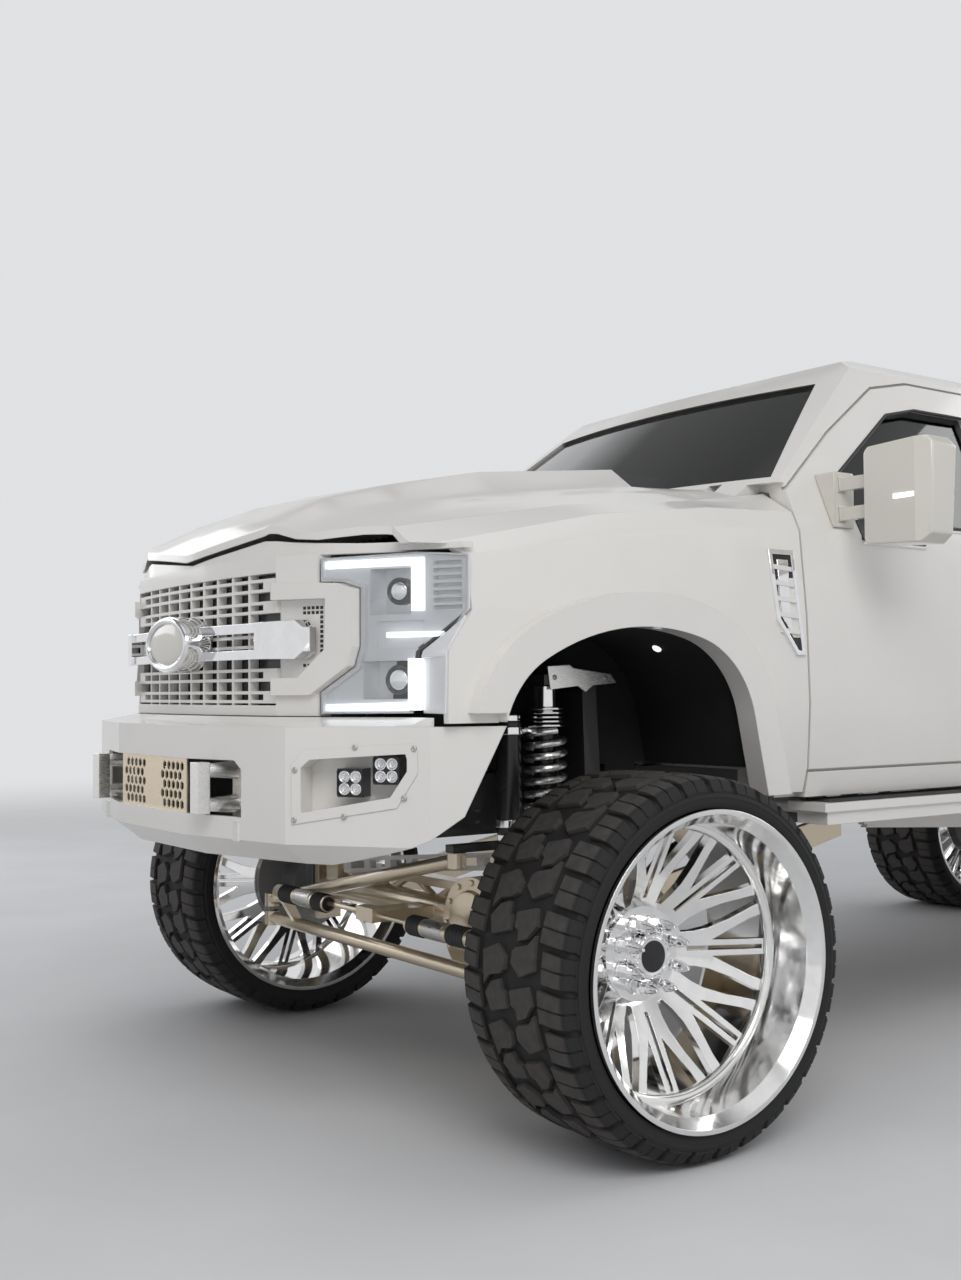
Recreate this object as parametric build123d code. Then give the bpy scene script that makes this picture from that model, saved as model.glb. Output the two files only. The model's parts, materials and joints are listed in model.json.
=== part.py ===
from build123d import *
import math
import os

# Lifted crew-cab pickup truck, in millimetres. x runs to the truck's left, y rearward from the
# front axle, z up from the ground. Every node is shifted along y at export so that the whole
# truck is centred on the origin.

# wheels and axles
WHEELBASE = 4059
TYRE_R = 485
TYRE_INNER_X = 818
TYRE_OUTER_X = 1262
RIM_LIP_R = 400
RIM_INNER_X = 829
RIM_OUTER_X = 1265
REAR_INSET = 19
BARREL_R = 376
BARREL_WALL = 12
PAD_X = 946
PAD_R = 115
SPINDLE_R = 60
SPINDLE_GAP = 0.3
DISH_RIM_X = 1112
DISH_HUB_X = 985
DISH_WALL = 26
DISH_RIM_R = 364
GROUPS = 8
CAP_R = 62
CAP_FRONT_X = 1029
NUT_COUNT = 8
NUT_CIRCLE_R = 85
NUT_R = 15
NUT_LENGTH = 62
KINGPIN_X = 785
AXLE_R = 46
DIFF_R = 150
DIFF_FRONT = -128
DIFF_X = 380
PIN_R = 14
STEER_ARM = 190
STEER_DROP = 110
LINK_R = 22

# body
HALF_WIDTH = 1016
CAB_FRONT = 545
COWL_FRONT = 400
COWL_Z = 1735
CAB_REAR = 3010
DOOR_FRONT = 640
DOOR_SPLIT = 1790
DOOR_REAR = 2760
DOOR_BOTTOM = 950
DOOR_GAP = 8
SKIN = 18
PAN_INSET = 45
PAN_GAP = 24
FLOOR_Z = 975
SILL_Z = 868
PANEL = 20
GLASS = 6
PILLAR_X = 945
HANDLE_Z = 1452
HINGE_ZS = (1080, 1480)
TUNNEL_HALF = 230
TUNNEL_REAR = 1560
TUNNEL_Z = 1130
SEAT_GAP = 0.3
RAKE = 1.34
SCREEN_SAG = 130
SCREEN_Y = 450
SCREEN_Z = 1790
FENDER_REAR = DOOR_FRONT - DOOR_GAP
HOOD_GAP = 6
HINGE_X = 710
HOOD_PIN_Y = 590
HOOD_PIN_Z = 1752
HOOD_PIN_R = 7

# load bed
BED_FRONT = 3045
BED_REAR = 5250
BED_INSIDE = 2080
BED_FLOOR_Z = 1177
BED_RAIL_Z = 1710
WELL_INNER = 620
WELL_WALL = 16
BED_SKIN_Z = 900
BED_SILLS = (3620, 4500, 5080)
SILL_REACH = 600
GATE_THICK = 62
GATE_HALF = 838
GATE_GAP = 8
GATE_PIN_R = 12
BUMPER_REAR = 5380

# chassis
RAIL_X = 430
RAIL_W = 90
RAIL_H = 175
RAIL_WALL = 12
RAIL_Z = 770
RAIL_FRONT = -760
RAIL_REAR = 5200

# nose
BUMPER_FRONT = -975
BUMPER_TOP = 1098
BUMPER_LOW = 804
BUMPER_BASE = 748
BUMPER_WALL = 12
PLATE_HALF = 233
PLATE_Y = BUMPER_FRONT + BUMPER_WALL + SEAT_GAP
PLATE_Z = 932
PLATE_H = 168
HOOP_X = 363
HOOP_T = 50
HOOP_FRONT = -998
HOOP_NECK_R = 15
HOOP_FOOT_R = 26
RECEIVER_OUT = 76
RECEIVER_IN = 64
RECEIVER_Z = 760
HITCH_PIN_R = 8

SHIFT_Y = -(HOOP_FRONT + BUMPER_REAR) / 2

PARTS = {}


def block(x0, x1, y0, y1, z0, z1):
    return Pos((x0 + x1) / 2, (y0 + y1) / 2, (z0 + z1) / 2) * Box(x1 - x0, y1 - y0, z1 - z0)


def side(points, x0, x1):
    """Outline in (y, z) carried along x."""
    face = Plane.YZ.offset(x0) * Polygon(*points, align=None)
    return extrude(face, amount=x1 - x0, dir=(1, 0, 0))


def front(points, y0, y1):
    """Outline in (x, z) carried along y."""
    face = Plane.XZ.offset(-y0) * Polygon(*points, align=None)
    return extrude(face, amount=y1 - y0, dir=(0, 1, 0))


def plan(points, z0, z1):
    """Outline in (x, y) carried along z."""
    face = Plane.XY.offset(z0) * Polygon(*points, align=None)
    return extrude(face, amount=z1 - z0, dir=(0, 0, 1))


def rod(start, end, radius):
    run = Vector(*end) - Vector(*start)
    place = Plane(origin=start, z_dir=run)
    return place * Cylinder(radius, run.length, align=(Align.CENTER, Align.CENTER, Align.MIN))


def across(radius, x0, x1, y, z):
    return rod((x0, y, z), (x1, y, z), radius)


def flip(shape):
    return mirror(shape, about=Plane.YZ)


def group(shapes):
    return Compound([solid for shape in shapes for solid in shape.solids()])


def both(shape):
    return group([shape, flip(shape)])


def join(shapes):
    total = shapes[0]
    for shape in shapes[1:]:
        total = total + shape
    return total


def mirrored_outline(half):
    """Closed outline from its right half, listed from bottom to top."""
    return list(half) + [(-x, z) for x, z in reversed(half)]


def keep(name, shape):
    PARTS[name] = shape


# Wheel arch: a basket-handle arch of three arcs, grown outward by "grow"
ARCH_TOP = (0, 636, 716)
ARCH_FRONT = (-220, 1035, ARCH_TOP[2] - math.hypot(-220, 1035 - 636))
ARCH_REAR = (115, 1052, ARCH_TOP[2] - math.hypot(115, 1052 - 636))
ARCH_REAR_TILT = 12.5
ARCH_REAR_FOOT = 0.2217


def on_arc(arc, grow, degrees):
    y, z, radius = arc
    angle = math.radians(degrees)
    return (y + (radius + grow) * math.cos(angle), z + (radius + grow) * math.sin(angle))


def bearing(arc):
    return math.degrees(math.atan2(arc[1] - ARCH_TOP[1], arc[0] - ARCH_TOP[0]))


def arch(grow, low, x0, x1, station=0, turned=False):
    """Solid that fills the arch opening down to z = low, between x0 and x1."""
    turn_f = bearing(ARCH_FRONT)
    turn_r = bearing(ARCH_REAR)
    foot_r = on_arc(ARCH_REAR, grow, ARCH_REAR_TILT)
    low_r = (foot_r[0] + (foot_r[1] - low) * ARCH_REAR_FOOT, low)
    spots = [
        (ARCH_FRONT, 180, turn_f),
        (ARCH_TOP, turn_f, turn_r),
        (ARCH_REAR, turn_r, ARCH_REAR_TILT),
    ]
    start = on_arc(ARCH_FRONT, grow, 180)
    low_f = (start[0], low)
    edges = [Line(low_r, low_f), Line(low_f, start)]
    for arc, a0, a1 in spots:
        p0 = on_arc(arc, grow, a0)
        pm = on_arc(arc, grow, (a0 + a1) / 2)
        p1 = on_arc(arc, grow, a1)
        edges.append(ThreePointArc(p0, pm, p1))
    edges.append(Line(foot_r, low_r))
    outline = make_face(edges)
    if turned:
        outline = mirror(outline, about=Plane.YZ)
    solid = extrude(Plane.YZ.offset(x0) * outline, amount=x1 - x0, dir=(1, 0, 0))
    return Pos(0, station, 0) * solid


# Cab: cross-section columns are x, z, outside to inside; the wall is the whole door thick
CAB_SECTION = [
    # x outer, z outer, x inner, z inner
    (985, SILL_Z, 925, FLOOR_Z),
    (1004, 955, 934, 1010),
    (1012, 1078, 938, 1078),
    (HALF_WIDTH, 1143, 940, 1143),
    (1008, 1400, 932, 1400),
    (985, 1650, 912, 1645),
    (960, 1705, 895, 1690),
    (738, 2250, 690, 2228),
    (640, 2306, 600, 2262),
    (320, 2328, 300, 2284),
]


def section_points(col_x, col_z, inset=0):
    half = [(row[col_x] - inset, row[col_z]) for row in CAB_SECTION]
    return mirrored_outline(half)


def raked(shift):
    """Everything behind the windscreen's curved surface, moved back by shift."""
    low = 800
    y0 = SCREEN_Y + shift - RAKE * (SCREEN_Z - low)
    edge = 1200
    sag = SCREEN_SAG * (edge / 850) ** 2
    arc = ThreePointArc((-edge, y0 + sag), (0, y0), (edge, y0 + sag))
    back = Polyline((edge, y0 + sag), (edge, y0 + 6000), (-edge, y0 + 6000), (-edge, y0 + sag))
    face = Plane.XY.offset(low) * make_face([arc] + back.edges())
    run = Vector(0, RAKE, 1)
    return extrude(face, amount=1700 * run.length, dir=run.normalized())


ROOF_PROFILE = [
    (COWL_FRONT, SILL_Z), (COWL_FRONT, 2150), (1100, 2262), (1300, 2310), (1700, 2328), (2300, 2322),
    (2700, 2290), (2900, 2230), (2985, 2140), (CAB_REAR, 1900), (CAB_REAR, SILL_Z),
]
ROOM_PROFILE = [
    (620, FLOOR_Z), (620, 2080), (1150, 2205), (1330, 2262), (1700, 2284), (2300, 2280),
    (2680, 2250), (2860, 2190), (2925, 2110), (2950, 1900), (2950, FLOOR_Z),
]


def cab_solids():
    outer = front(section_points(0, 1), COWL_FRONT, CAB_REAR) & side(ROOF_PROFILE, -1100, 1100)
    outer = outer & raked(0)
    outer = outer - block(-1100, 1100, COWL_FRONT - 5, CAB_FRONT, SILL_Z - 5, COWL_Z)
    room = front(section_points(2, 3), 620, 2950) & side(ROOM_PROFILE, -1100, 1100)
    room = room & raked(78)
    core = front(section_points(0, 1, SKIN), COWL_FRONT - 10, CAB_REAR + 10)
    return outer, room, core


def grown(points, amount):
    """The outline's points moved outward by amount, with mitred corners."""
    area = sum(p[0] * q[1] - q[0] * p[1] for p, q in zip(points, points[1:] + points[:1]))
    turn = 1 if area > 0 else -1
    result = []
    for i, corner in enumerate(points):
        before = Vector(*corner) - Vector(*points[i - 1])
        after = Vector(*points[(i + 1) % len(points)]) - Vector(*corner)
        n0 = Vector(before.Y, -before.X).normalized() * turn
        n1 = Vector(after.Y, -after.X).normalized() * turn
        mitre = (n0 + n1) * (amount / (1 + n0.dot(n1)))
        result.append((corner[0] + mitre.X, corner[1] + mitre.Y))
    return result


def outline_solid(points, amount, x0, x1):
    """Prism along x of a (y, z) outline, grown (or shrunk) by amount."""
    return side(grown(points, amount), x0, x1)


FRONT_DOOR = [
    (DOOR_FRONT, DOOR_BOTTOM), (DOOR_SPLIT - 5, DOOR_BOTTOM), (DOOR_SPLIT - 5, 2222), (1440, 2222),
    (1235, 2180), (930, 1990), (DOOR_FRONT, 1778),
]
REAR_DOOR = [
    (DOOR_SPLIT + 5, DOOR_BOTTOM), (DOOR_REAR - 35, DOOR_BOTTOM), (DOOR_REAR - 10, 1200), (DOOR_REAR, 1700),
    (DOOR_REAR - 70, 2180), (DOOR_REAR - 120, 2222), (DOOR_SPLIT + 5, 2222),
]
FRONT_WINDOW = [
    (915, 1640), (1215, 1640), (1295, 1702), (DOOR_SPLIT - 75, 1706), (DOOR_SPLIT - 75, 2128),
    (1430, 2128), (1265, 2092), (915, 1858),
]
REAR_WINDOW = [
    (DOOR_SPLIT + 75, 1706), (DOOR_REAR - 85, 1706), (DOOR_REAR - 125, 2090), (DOOR_REAR - 165, 2128),
    (DOOR_SPLIT + 75, 2128),
]
DOORS = [
    # name, outline, window
    ("front", FRONT_DOOR, FRONT_WINDOW),
    ("rear", REAR_DOOR, REAR_WINDOW),
]
SCREEN_VIEW = [(880, 1822), (672, 2196), (-672, 2196), (-880, 1822)]
BACKLIGHT_VIEW = [(760, 1760), (660, 2120), (-660, 2120), (-760, 1760)]
PANE_DEPTH = 30


def make_cab():
    outer, room, core = cab_solids()
    wall = outer - room
    skin = outer - core
    deep_skin = outer - front(section_points(0, 1, SKIN + SEAT_GAP), COWL_FRONT - 10, CAB_REAR + 10)
    pan = wall & core
    shell = wall
    for name, outline, window in DOORS:
        near = outline_solid(outline, DOOR_GAP, 500, 1100)
        inner = outline_solid(outline, PAN_GAP - PAN_INSET, 500, 1100)
        cut = (deep_skin & near) + (wall & inner)
        shell = shell - cut - flip(cut)
        sheet = outline_solid(outline, 0, 500, 1100)
        tray = outline_solid(outline, -PAN_INSET, 500, 1100)
        opening = outline_solid(window, 0, 500, 1100)
        door = ((skin & sheet) + (pan & tray)) - opening
        edge = outline[0][0]
        back = max(y for y, z in outline)
        grip = block(1016, 1034, back - 215, back - 65, HANDLE_Z, HANDLE_Z + 26)
        for y in (back - 205, back - 90):
            grip = grip + block(995, 1020, y, y + 22, HANDLE_Z, HANDLE_Z + 24)
        door = door + grip
        stop = edge + PAN_INSET - PAN_GAP
        for z in HINGE_ZS:
            door = door + block(PILLAR_X - 22, PILLAR_X + 5, stop + SEAT_GAP, edge + PAN_INSET + 5, z - 40,
                                z + 40)
        keep("door_%s_left" % name, door)
        keep("door_%s_right" % name, flip(door))
        pane_at = front(section_points(0, 1, PANE_DEPTH), 500, 3000)
        pane_in = front(section_points(0, 1, PANE_DEPTH + GLASS), 490, 3010)
        pane = (pane_at - pane_in) & outline_solid(window, -SEAT_GAP, 500, 1100)
        keep("glass_%s_left" % name, pane)
        keep("glass_%s_right" % name, flip(pane))
    screen = front(SCREEN_VIEW, 300, 1260)
    shell = shell - (screen & (raked(-20) - raked(100)))
    back = front(BACKLIGHT_VIEW, 2800, 3100)
    shell = shell - back
    shell = shell - both(block(FENDER_TOP_X - PANEL - SEAT_GAP, 1100, COWL_FRONT - 50, DOOR_FRONT,
                               SILL_Z - 10, 1800))
    shell = shell - block(-900, 900, CAB_FRONT - 5, CAB_REAR + 5, SILL_Z - 10, RAIL_Z + RAIL_H + SEAT_GAP)
    tunnel = block(-TUNNEL_HALF, TUNNEL_HALF, CAB_FRONT + 30, TUNNEL_REAR, FLOOR_Z - 10, TUNNEL_Z)
    hollow = block(PANEL - TUNNEL_HALF, TUNNEL_HALF - PANEL, CAB_FRONT - 50, TUNNEL_REAR - PANEL,
                   SILL_Z, TUNNEL_Z - PANEL)
    shell = shell + tunnel - hollow
    for s in (-1, 1):
        shell = shell - block(s * HINGE_X - 22, s * HINGE_X + 22, COWL_FRONT - 10, HOOD_PIN_Y + 22,
                              COWL_Z - 5, 1812)
        shell = shell + across(HOOD_PIN_R, s * HINGE_X - 26, s * HINGE_X + 26, HOOD_PIN_Y, HOOD_PIN_Z)
        pillar = block(800, PILLAR_X, CAB_FRONT + 10, 620, SILL_Z, 1640)
        pillar = pillar + block(862, PILLAR_X, 600, 645, SILL_Z, 1640)
        shell = shell + (pillar if s > 0 else flip(pillar))
    keep("cab_shell", shell)
    small_screen = front(grown(SCREEN_VIEW, -SEAT_GAP), 300, 1260)
    screen_glass = small_screen & (raked(20) - raked(20 + GLASS * 1.67))
    small_back = front(grown(BACKLIGHT_VIEW, -SEAT_GAP), CAB_REAR - 40, CAB_REAR - 40 + GLASS)
    keep("cab_glass", group([screen_glass, small_back]))


# Front fenders: columns are station y, then x, z of each outer corner from the hood line down
FENDER_STATIONS = [
    (-660, (806, 1600), (905, 1540), (940, 1500), (968, 1380), (985, 1143), (990, 1078), (992, 955),
     (978, 884)),
    (-100, (818, 1694), (930, 1655), (968, 1600), (1000, 1400), (1012, 1143), (1010, 1078), (1004, 955),
     (985, 884)),
    (300, (832, 1730), (945, 1700), (985, 1640), (1008, 1400), (1016, 1143), (1012, 1078), (1004, 955),
     (985, 884)),
    (FENDER_REAR, (846, 1775), (958, 1708), (985, 1650), (1008, 1400), (1016, 1143), (1012, 1078),
     (1004, 955),
     (985, 884)),
]
FENDER_TOP_X = 846
LAMP_EDGE = [
    (-900, 700), (-616, 700), (-616, 1129), (-606, 1284), (-534, 1385), (-534, 1520), (-560, 1552),
    (-900, 1552),
]
LAMP_GAP = 4
FLARE_WIDTH = 92
FLARE_OUT = 14


def make_fenders():
    faces = []
    for row in FENDER_STATIONS:
        outer = list(row[1:])
        inner = [(x - PANEL, z - PANEL * (0.9 if i < 3 else 0)) for i, (x, z) in enumerate(outer)]
        inner[0] = (outer[0][0], outer[0][1] - PANEL)
        points = outer + inner[::-1]
        faces.append((Plane.XZ.offset(-row[0]) * Polygon(*points, align=None)).face())
    shell = loft(faces, ruled=True)
    ring = arch(FLARE_WIDTH, 884, 960, HALF_WIDTH + FLARE_OUT) - arch(0, 700, 900, 1100)
    ring = ring - block(900, 1100, -900, -470, 800, 1130)
    shell = shell - arch(0, 700, 700, 1100) - side(LAMP_EDGE, 600, 1100)
    shell = shell - block(700, 1100, -700, -450, 700, 1106)
    fender = shell + ring
    keep("front_fenders", both(fender))


# Inner wheel wells, black liners
LINER_GROW = 30
LINER_T = 12
WELL_X0 = 500
WELL_X1 = 960


def make_liners():
    skin = arch(LINER_GROW, 960, WELL_X0, WELL_X1) - arch(LINER_GROW - LINER_T, 900, WELL_X0 - 5, WELL_X1 + 5)
    wall = arch(LINER_GROW - LINER_T, 960, WELL_X0, WELL_X0 + LINER_T)
    shape = skin + wall
    for y in (-340, 340):
        shape = shape + block(RAIL_X + RAIL_W / 2 + SEAT_GAP, WELL_X0 + LINER_T, y - 60, y + 60, 900, 970)
    keep("wheel_liners", both(shape))


# Hood: columns are station y, then z on the centre, at the bulge's edge and foot, mid-side and edge
HOOD_X = (0, 425, 520, 700)
HOOD_STATIONS = [
    (-880, 1560, 1552, 1540, 1515, 1492, 796),
    (-800, 1655, 1640, 1600, 1560, 1530, 798),
    (-640, 1735, 1718, 1670, 1625, 1590, 800),
    (-450, 1785, 1768, 1712, 1668, 1632, 804),
    (-130, 1848, 1832, 1762, 1720, 1688, 812),
    (392, 1892, 1884, 1818, 1780, 1738, 830),
]
HOOD_TAIL = (545, 1832, 1830, 1822, 1800, 1764, 840)
HOOD_FRONT_EDGE = [(0, -862), (407, -815), (600, -757), (800, -600)]
HOOD_T = 22


def hood_face(row, lift=0):
    y, zc, zb, zf, zm, ze, w = row
    outer = [(w, ze), (HOOD_X[3], zm), (HOOD_X[2], zf), (HOOD_X[1], zb), (0, zc)]
    outer = outer + [(-x, z) for x, z in reversed(outer[:-1])]
    inner = [(x, z - HOOD_T) for x, z in reversed(outer)]
    return (Plane.XZ.offset(-y) * Polygon(*(outer + inner), align=None)).face()


def make_hood():
    panel = loft([hood_face(row) for row in HOOD_STATIONS], ruled=True)
    base = HOOD_STATIONS[-1]
    flat = (base[0], base[3] + 12, base[3] + 8, base[3], base[4], base[5], base[6])
    tail = loft([hood_face(flat), hood_face(HOOD_TAIL)], ruled=True)
    back = front(mirrored_outline([(HOOD_X[2], base[3] - HOOD_T + 2), (HOOD_X[2], base[3] - 1),
                                   (HOOD_X[1], base[2] - 1)]), base[0] - 14, base[0])
    edge = HOOD_FRONT_EDGE + [(900, -560), (900, 700)]
    outline = edge + [(-x, y) for x, y in reversed(edge)]
    shape = (panel + tail + back) & plan(outline[1:] if outline[0] == outline[-1] else outline, 1300, 2000)
    shape = shape - raked(-HOOD_GAP * 2.5)
    for s in (-1, 1):
        x0, x1 = s * HINGE_X - 8, s * HINGE_X + 8
        strap = block(x0, x1, HOOD_PIN_Y - 90, HOOD_PIN_Y, HOOD_PIN_Z - 8, HOOD_PIN_Z + 8)
        strap = strap + block(x0, x1, HOOD_PIN_Y - 90, HOOD_PIN_Y - 66, HOOD_PIN_Z - 8, HOOD_PIN_Z + 34)
        strap = strap + across(14, s * HINGE_X - 8, s * HINGE_X + 8, HOOD_PIN_Y, HOOD_PIN_Z)
        strap = strap - across(HOOD_PIN_R + SEAT_GAP, s * HINGE_X - 20, s * HINGE_X + 20, HOOD_PIN_Y,
                               HOOD_PIN_Z)
        shape = shape + strap
    keep("hood", shape)


# Grille: a painted shell, ladder bands between dark rows, and plain side surrounds
GRILLE_HALF = 473
GRILLE_Z0 = 1150
GRILLE_Z1 = 1500
SHELL_Z0 = 1122
SHELL_Z1 = 1545
SHELL_HALF = 596
GRILLE_SAG = 34
GRILLE_Y = -850
GRILLE_T = 40
BAND_ROWS = [
    # z of the band's lower and upper edge
    (1155, 1188),
    (1213, 1248),
    (1302, 1338),
    (1394, 1427),
    (1451, 1487),
]
BAR = 9
SUPPORT_Y = -700
SUPPORT_T = 80


NOSE_SIDE = [(GRILLE_HALF, GRILLE_SAG), (600, 93), (720, 156)]


def nose_plan(y, depth, half):
    """Plan face that follows the nose: an arc in the middle, straight runs beyond its ends."""
    inner = min(half, GRILLE_HALF)
    sag = GRILLE_SAG * (inner / GRILLE_HALF) ** 2
    tail = []
    for (x0, d0), (x1, d1) in zip(NOSE_SIDE, NOSE_SIDE[1:]):
        if half > x0:
            x = min(half, x1)
            tail.append((x, d0 + (d1 - d0) * (x - x0) / (x1 - x0)))
    edges = []
    for shift in (0, depth):
        edges.append(ThreePointArc((-inner, y + sag + shift), (0, y + shift), (inner, y + sag + shift)))
        for s in (-1, 1):
            run = [(s * inner, y + sag + shift)] + [(s * x, y + d + shift) for x, d in tail]
            edges = edges + [Line(p, q) for p, q in zip(run, run[1:])]
    x, d = tail[-1] if tail else (inner, sag)
    for s in (-1, 1):
        edges.append(Line((s * x, y + d), (s * x, y + d + depth)))
    return make_face(edges)


def nose_slab(y, depth, half, z0, z1):
    return extrude(Plane.XY.offset(z0) * nose_plan(y, depth, half), amount=z1 - z0, dir=(0, 0, 1))


SURROUND = [(466, 1474), (660, 1464), (704, 1448), (704, 1301), (690, 1250), (588, 1176), (466, 1176)]
POCKET = [(430, 1427), (631, 1425), (628, 1293), (552, 1222), (430, 1221)]
SURROUND_RISE = 16
SURROUND_BACK = 34
POCKET_FLOOR = 14
POSTS_AT = (0, 86, 172, 258, 344)
END_BLOCK_X = 412
BAND_FRONT = 2
BAND_DEEP = 26


def make_grille():
    shell = nose_slab(GRILLE_Y, GRILLE_T, SHELL_HALF, SHELL_Z0, SHELL_Z1)
    rim = nose_slab(GRILLE_Y - SURROUND_RISE, SURROUND_RISE + SURROUND_BACK, 719, 1170, 1480)
    rim = rim & (front(SURROUND, -1000, -500) + flip(front(SURROUND, -1000, -500)))
    pocket = nose_slab(GRILLE_Y - 60, 60 + POCKET_FLOOR, 719, 1170, 1480)
    pocket = pocket & (front(POCKET, -1000, -500) + flip(front(POCKET, -1000, -500)))
    shell = shell + rim - pocket
    shell = shell - block(-GRILLE_HALF, GRILLE_HALF, -1000, -600, GRILLE_Z0, GRILLE_Z1)
    ladder = nose_slab(GRILLE_Y + BAND_FRONT, BAND_DEEP, GRILLE_HALF + 2, GRILLE_Z0 - 2, GRILLE_Z1 + 2)
    solid = []
    for z0, z1 in BAND_ROWS:
        for edge in (z0, z1 - BAR):
            solid.append(block(-480, 480, -1000, -600, edge, edge + BAR))
        for s in (-1, 1):
            x0, x1 = sorted((s * END_BLOCK_X, s * 480))
            solid.append(block(x0, x1, -1000, -600, z0, z1))
    for x in POSTS_AT:
        for s in (-1, 1) if x else (1,):
            solid.append(block(s * x - 5, s * x + 5, -1000, -600, GRILLE_Z0 - 2, GRILLE_Z1 + 2))
    shell = shell + (ladder & join(solid))
    for s in (-1, 1):
        for z in (1190, 1500):
            shell = shell + block(s * 520 - 20, s * 520 + 20, -780, SUPPORT_Y - SEAT_GAP, z - 20, z + 20)
    keep("grille", shell)


CHROME_HALF = 470
CHROME_BARS = [(1272, 1297), (1342, 1368)]
CHROME_END = [(432, 1272), (566, 1270), (591, 1290), (591, 1352), (566, 1372), (432, 1368)]
BAR_RISE = 30
BADGE_A = 148
BADGE_B = 80
BADGE_Z = 1322
BADGE_FRONT = -912


def make_grille_trim():
    bar_y = GRILLE_Y - BAR_RISE
    depth = BAR_RISE + BAND_FRONT - SEAT_GAP
    bars = [nose_slab(bar_y, depth, CHROME_HALF, z0, z1) for z0, z1 in CHROME_BARS]
    ends = front(CHROME_END, -1000, -500)
    tips = nose_slab(bar_y - 8, depth + 8, 590.5, 1260, 1380) & (ends + flip(ends))
    foot = nose_slab(bar_y, BAR_RISE + POCKET_FLOOR - SEAT_GAP, 570, 1290, 1352)
    foot = foot - block(-GRILLE_HALF - 8, GRILLE_HALF + 8, -1000, -600, 1200, 1400)
    oval = Plane.XZ.offset(-BADGE_FRONT) * Ellipse(BADGE_A, BADGE_B)
    badge = Pos(0, 0, BADGE_Z) * extrude(oval, amount=60, dir=(0, 1, 0))
    ring = Pos(0, 0, BADGE_Z) * extrude(Plane.XZ.offset(-BADGE_FRONT + 8) * Ellipse(BADGE_A, BADGE_B),
                                        amount=20, dir=(0, 1, 0))
    well = Pos(0, 0, BADGE_Z) * extrude(Plane.XZ.offset(-BADGE_FRONT + 5) * Ellipse(BADGE_A - 14,
                                                                                    BADGE_B - 14), amount=11,
                                        dir=(0, 1, 0))
    keep("grille_trim", join(bars + [tips, foot, badge, ring]) - well)


# Headlamps: outline in the front view (x, z) cut from a body that follows the nose in plan
LAMP_INNER = 604
LAMP_VIEW = [
    (LAMP_INNER, 1128), (886, 1130), (889, 1209), (902, 1279), (938, 1339), (972, 1388), (973, 1524), (853,
                                                                                                       1534),
    (LAMP_INNER, 1530),
]
LAMP_NOTCH = 3
LAMP_FACE = [(560, -780), (640, -735), (800, -645), (1010, -525)]
LAMP_BACK = [(1010, -405), (800, -520), (600, -600), (560, -600)]
LENS_T = 3
HOUSING_RIM = 5
HOUSING_SINK = 14
LAMP_CAVES = [
    # x0, x1, z0, z1, depth behind the face
    (722, 824, 1380, 1496, 62),
    (704, 818, 1166, 1262, 62),
    (738, 856, 1293, 1362, 20),
]
LOUVRES = 7
LOUVRE_BOX = (880, 948, 1388, 1518)
STRIPS = [
    [(614, 1521), (860, 1521), (860, 1387), (832, 1387), (832, 1502), (614, 1502)],
    [(614, 1136), (858, 1138), (858, 1267), (828, 1267), (828, 1158), (614, 1152)],
    [(770, 1321), (908, 1321), (908, 1334), (770, 1334)],
]
PROJECTORS = [(792, 1438, 27), (790, 1214, 30)]


def lamp_zone(d0, d1):
    """Solid between two sheets that follow the lamp's face, at depths d0 and d1 behind it."""
    near = [(x, y + d0) for x, y in LAMP_FACE]
    far = [(x, y + d1) for x, y in reversed(LAMP_FACE)]
    return plan(near + far, 1100, 1560)


def make_headlamps():
    notch = nose_slab(GRILLE_Y - 80, 80 + SURROUND_BACK + LAMP_NOTCH, 719, 1165,
                      1485) & front(grown(SURROUND, LAMP_NOTCH),
                                                                                            -1000, -400)
    room = outline_solid(LAMP_EDGE, -LAMP_GAP, 500, 1100)
    view = front(LAMP_VIEW, -900, -300) & room
    inner = front(grown(LAMP_VIEW, -HOUSING_RIM), -900, -300)
    wide_notch = nose_slab(GRILLE_Y - 80, 90 + SURROUND_BACK, 719, 1165, 1490) & front(grown(SURROUND, 13),
                                                                                       -1000, -400)
    body = (plan([(x, y + LENS_T + SEAT_GAP) for x, y in LAMP_FACE] + LAMP_BACK, 1100, 1560) & view) - notch
    body = body - ((lamp_zone(-5, HOUSING_SINK) & inner) - wide_notch)
    for x0, x1, z0, z1, deep in LAMP_CAVES:
        body = body - (lamp_zone(0, deep) & block(x0, x1, -900, -300, z0, z1))
    x0, x1, z0, z1 = LOUVRE_BOX
    pitch = (z1 - z0) / LOUVRES
    slots = [block(x0, x1, -900, -300, z0 + i * pitch, z0 + i * pitch + pitch * 0.55) for i in range(LOUVRES)]
    body = body - (lamp_zone(0, HOUSING_SINK + 14) & join(slots))
    keep("headlamps", both(body))
    lens = (lamp_zone(0, LENS_T) & view) - notch
    keep("lamp_glass", both(lens))
    strips = [lamp_zone(HOUSING_SINK - 8, HOUSING_SINK - SEAT_GAP) & front(points, -900,
                                                                           -300) for points in STRIPS]
    units = []
    for x, z, radius in PROJECTORS:
        barrel = rod((x, -700, z), (x, -500, z), radius)
        units.append(barrel & lamp_zone(22, 62 - SEAT_GAP))
    keep("lamp_strips", both(group(strips + units)))


# Front bumper: plan corners of the face, then the same face undercut to its base
BUMPER_FACE = [(0, BUMPER_FRONT), (235, BUMPER_FRONT), (643, -877), (950, -643), (1010, -445)]
BUMPER_UNDER = [(0, -905), (235, -905), (610, -800), (880, -640), (950, -445)]
BUMPER_SIDE_CUT = [(-830, 700), (-760, BUMPER_BASE), (-690, 792), (-560, 878), (-445, BUMPER_TOP + 20),
                   (-300, 1200),
                   (-300, 700)]


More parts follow.
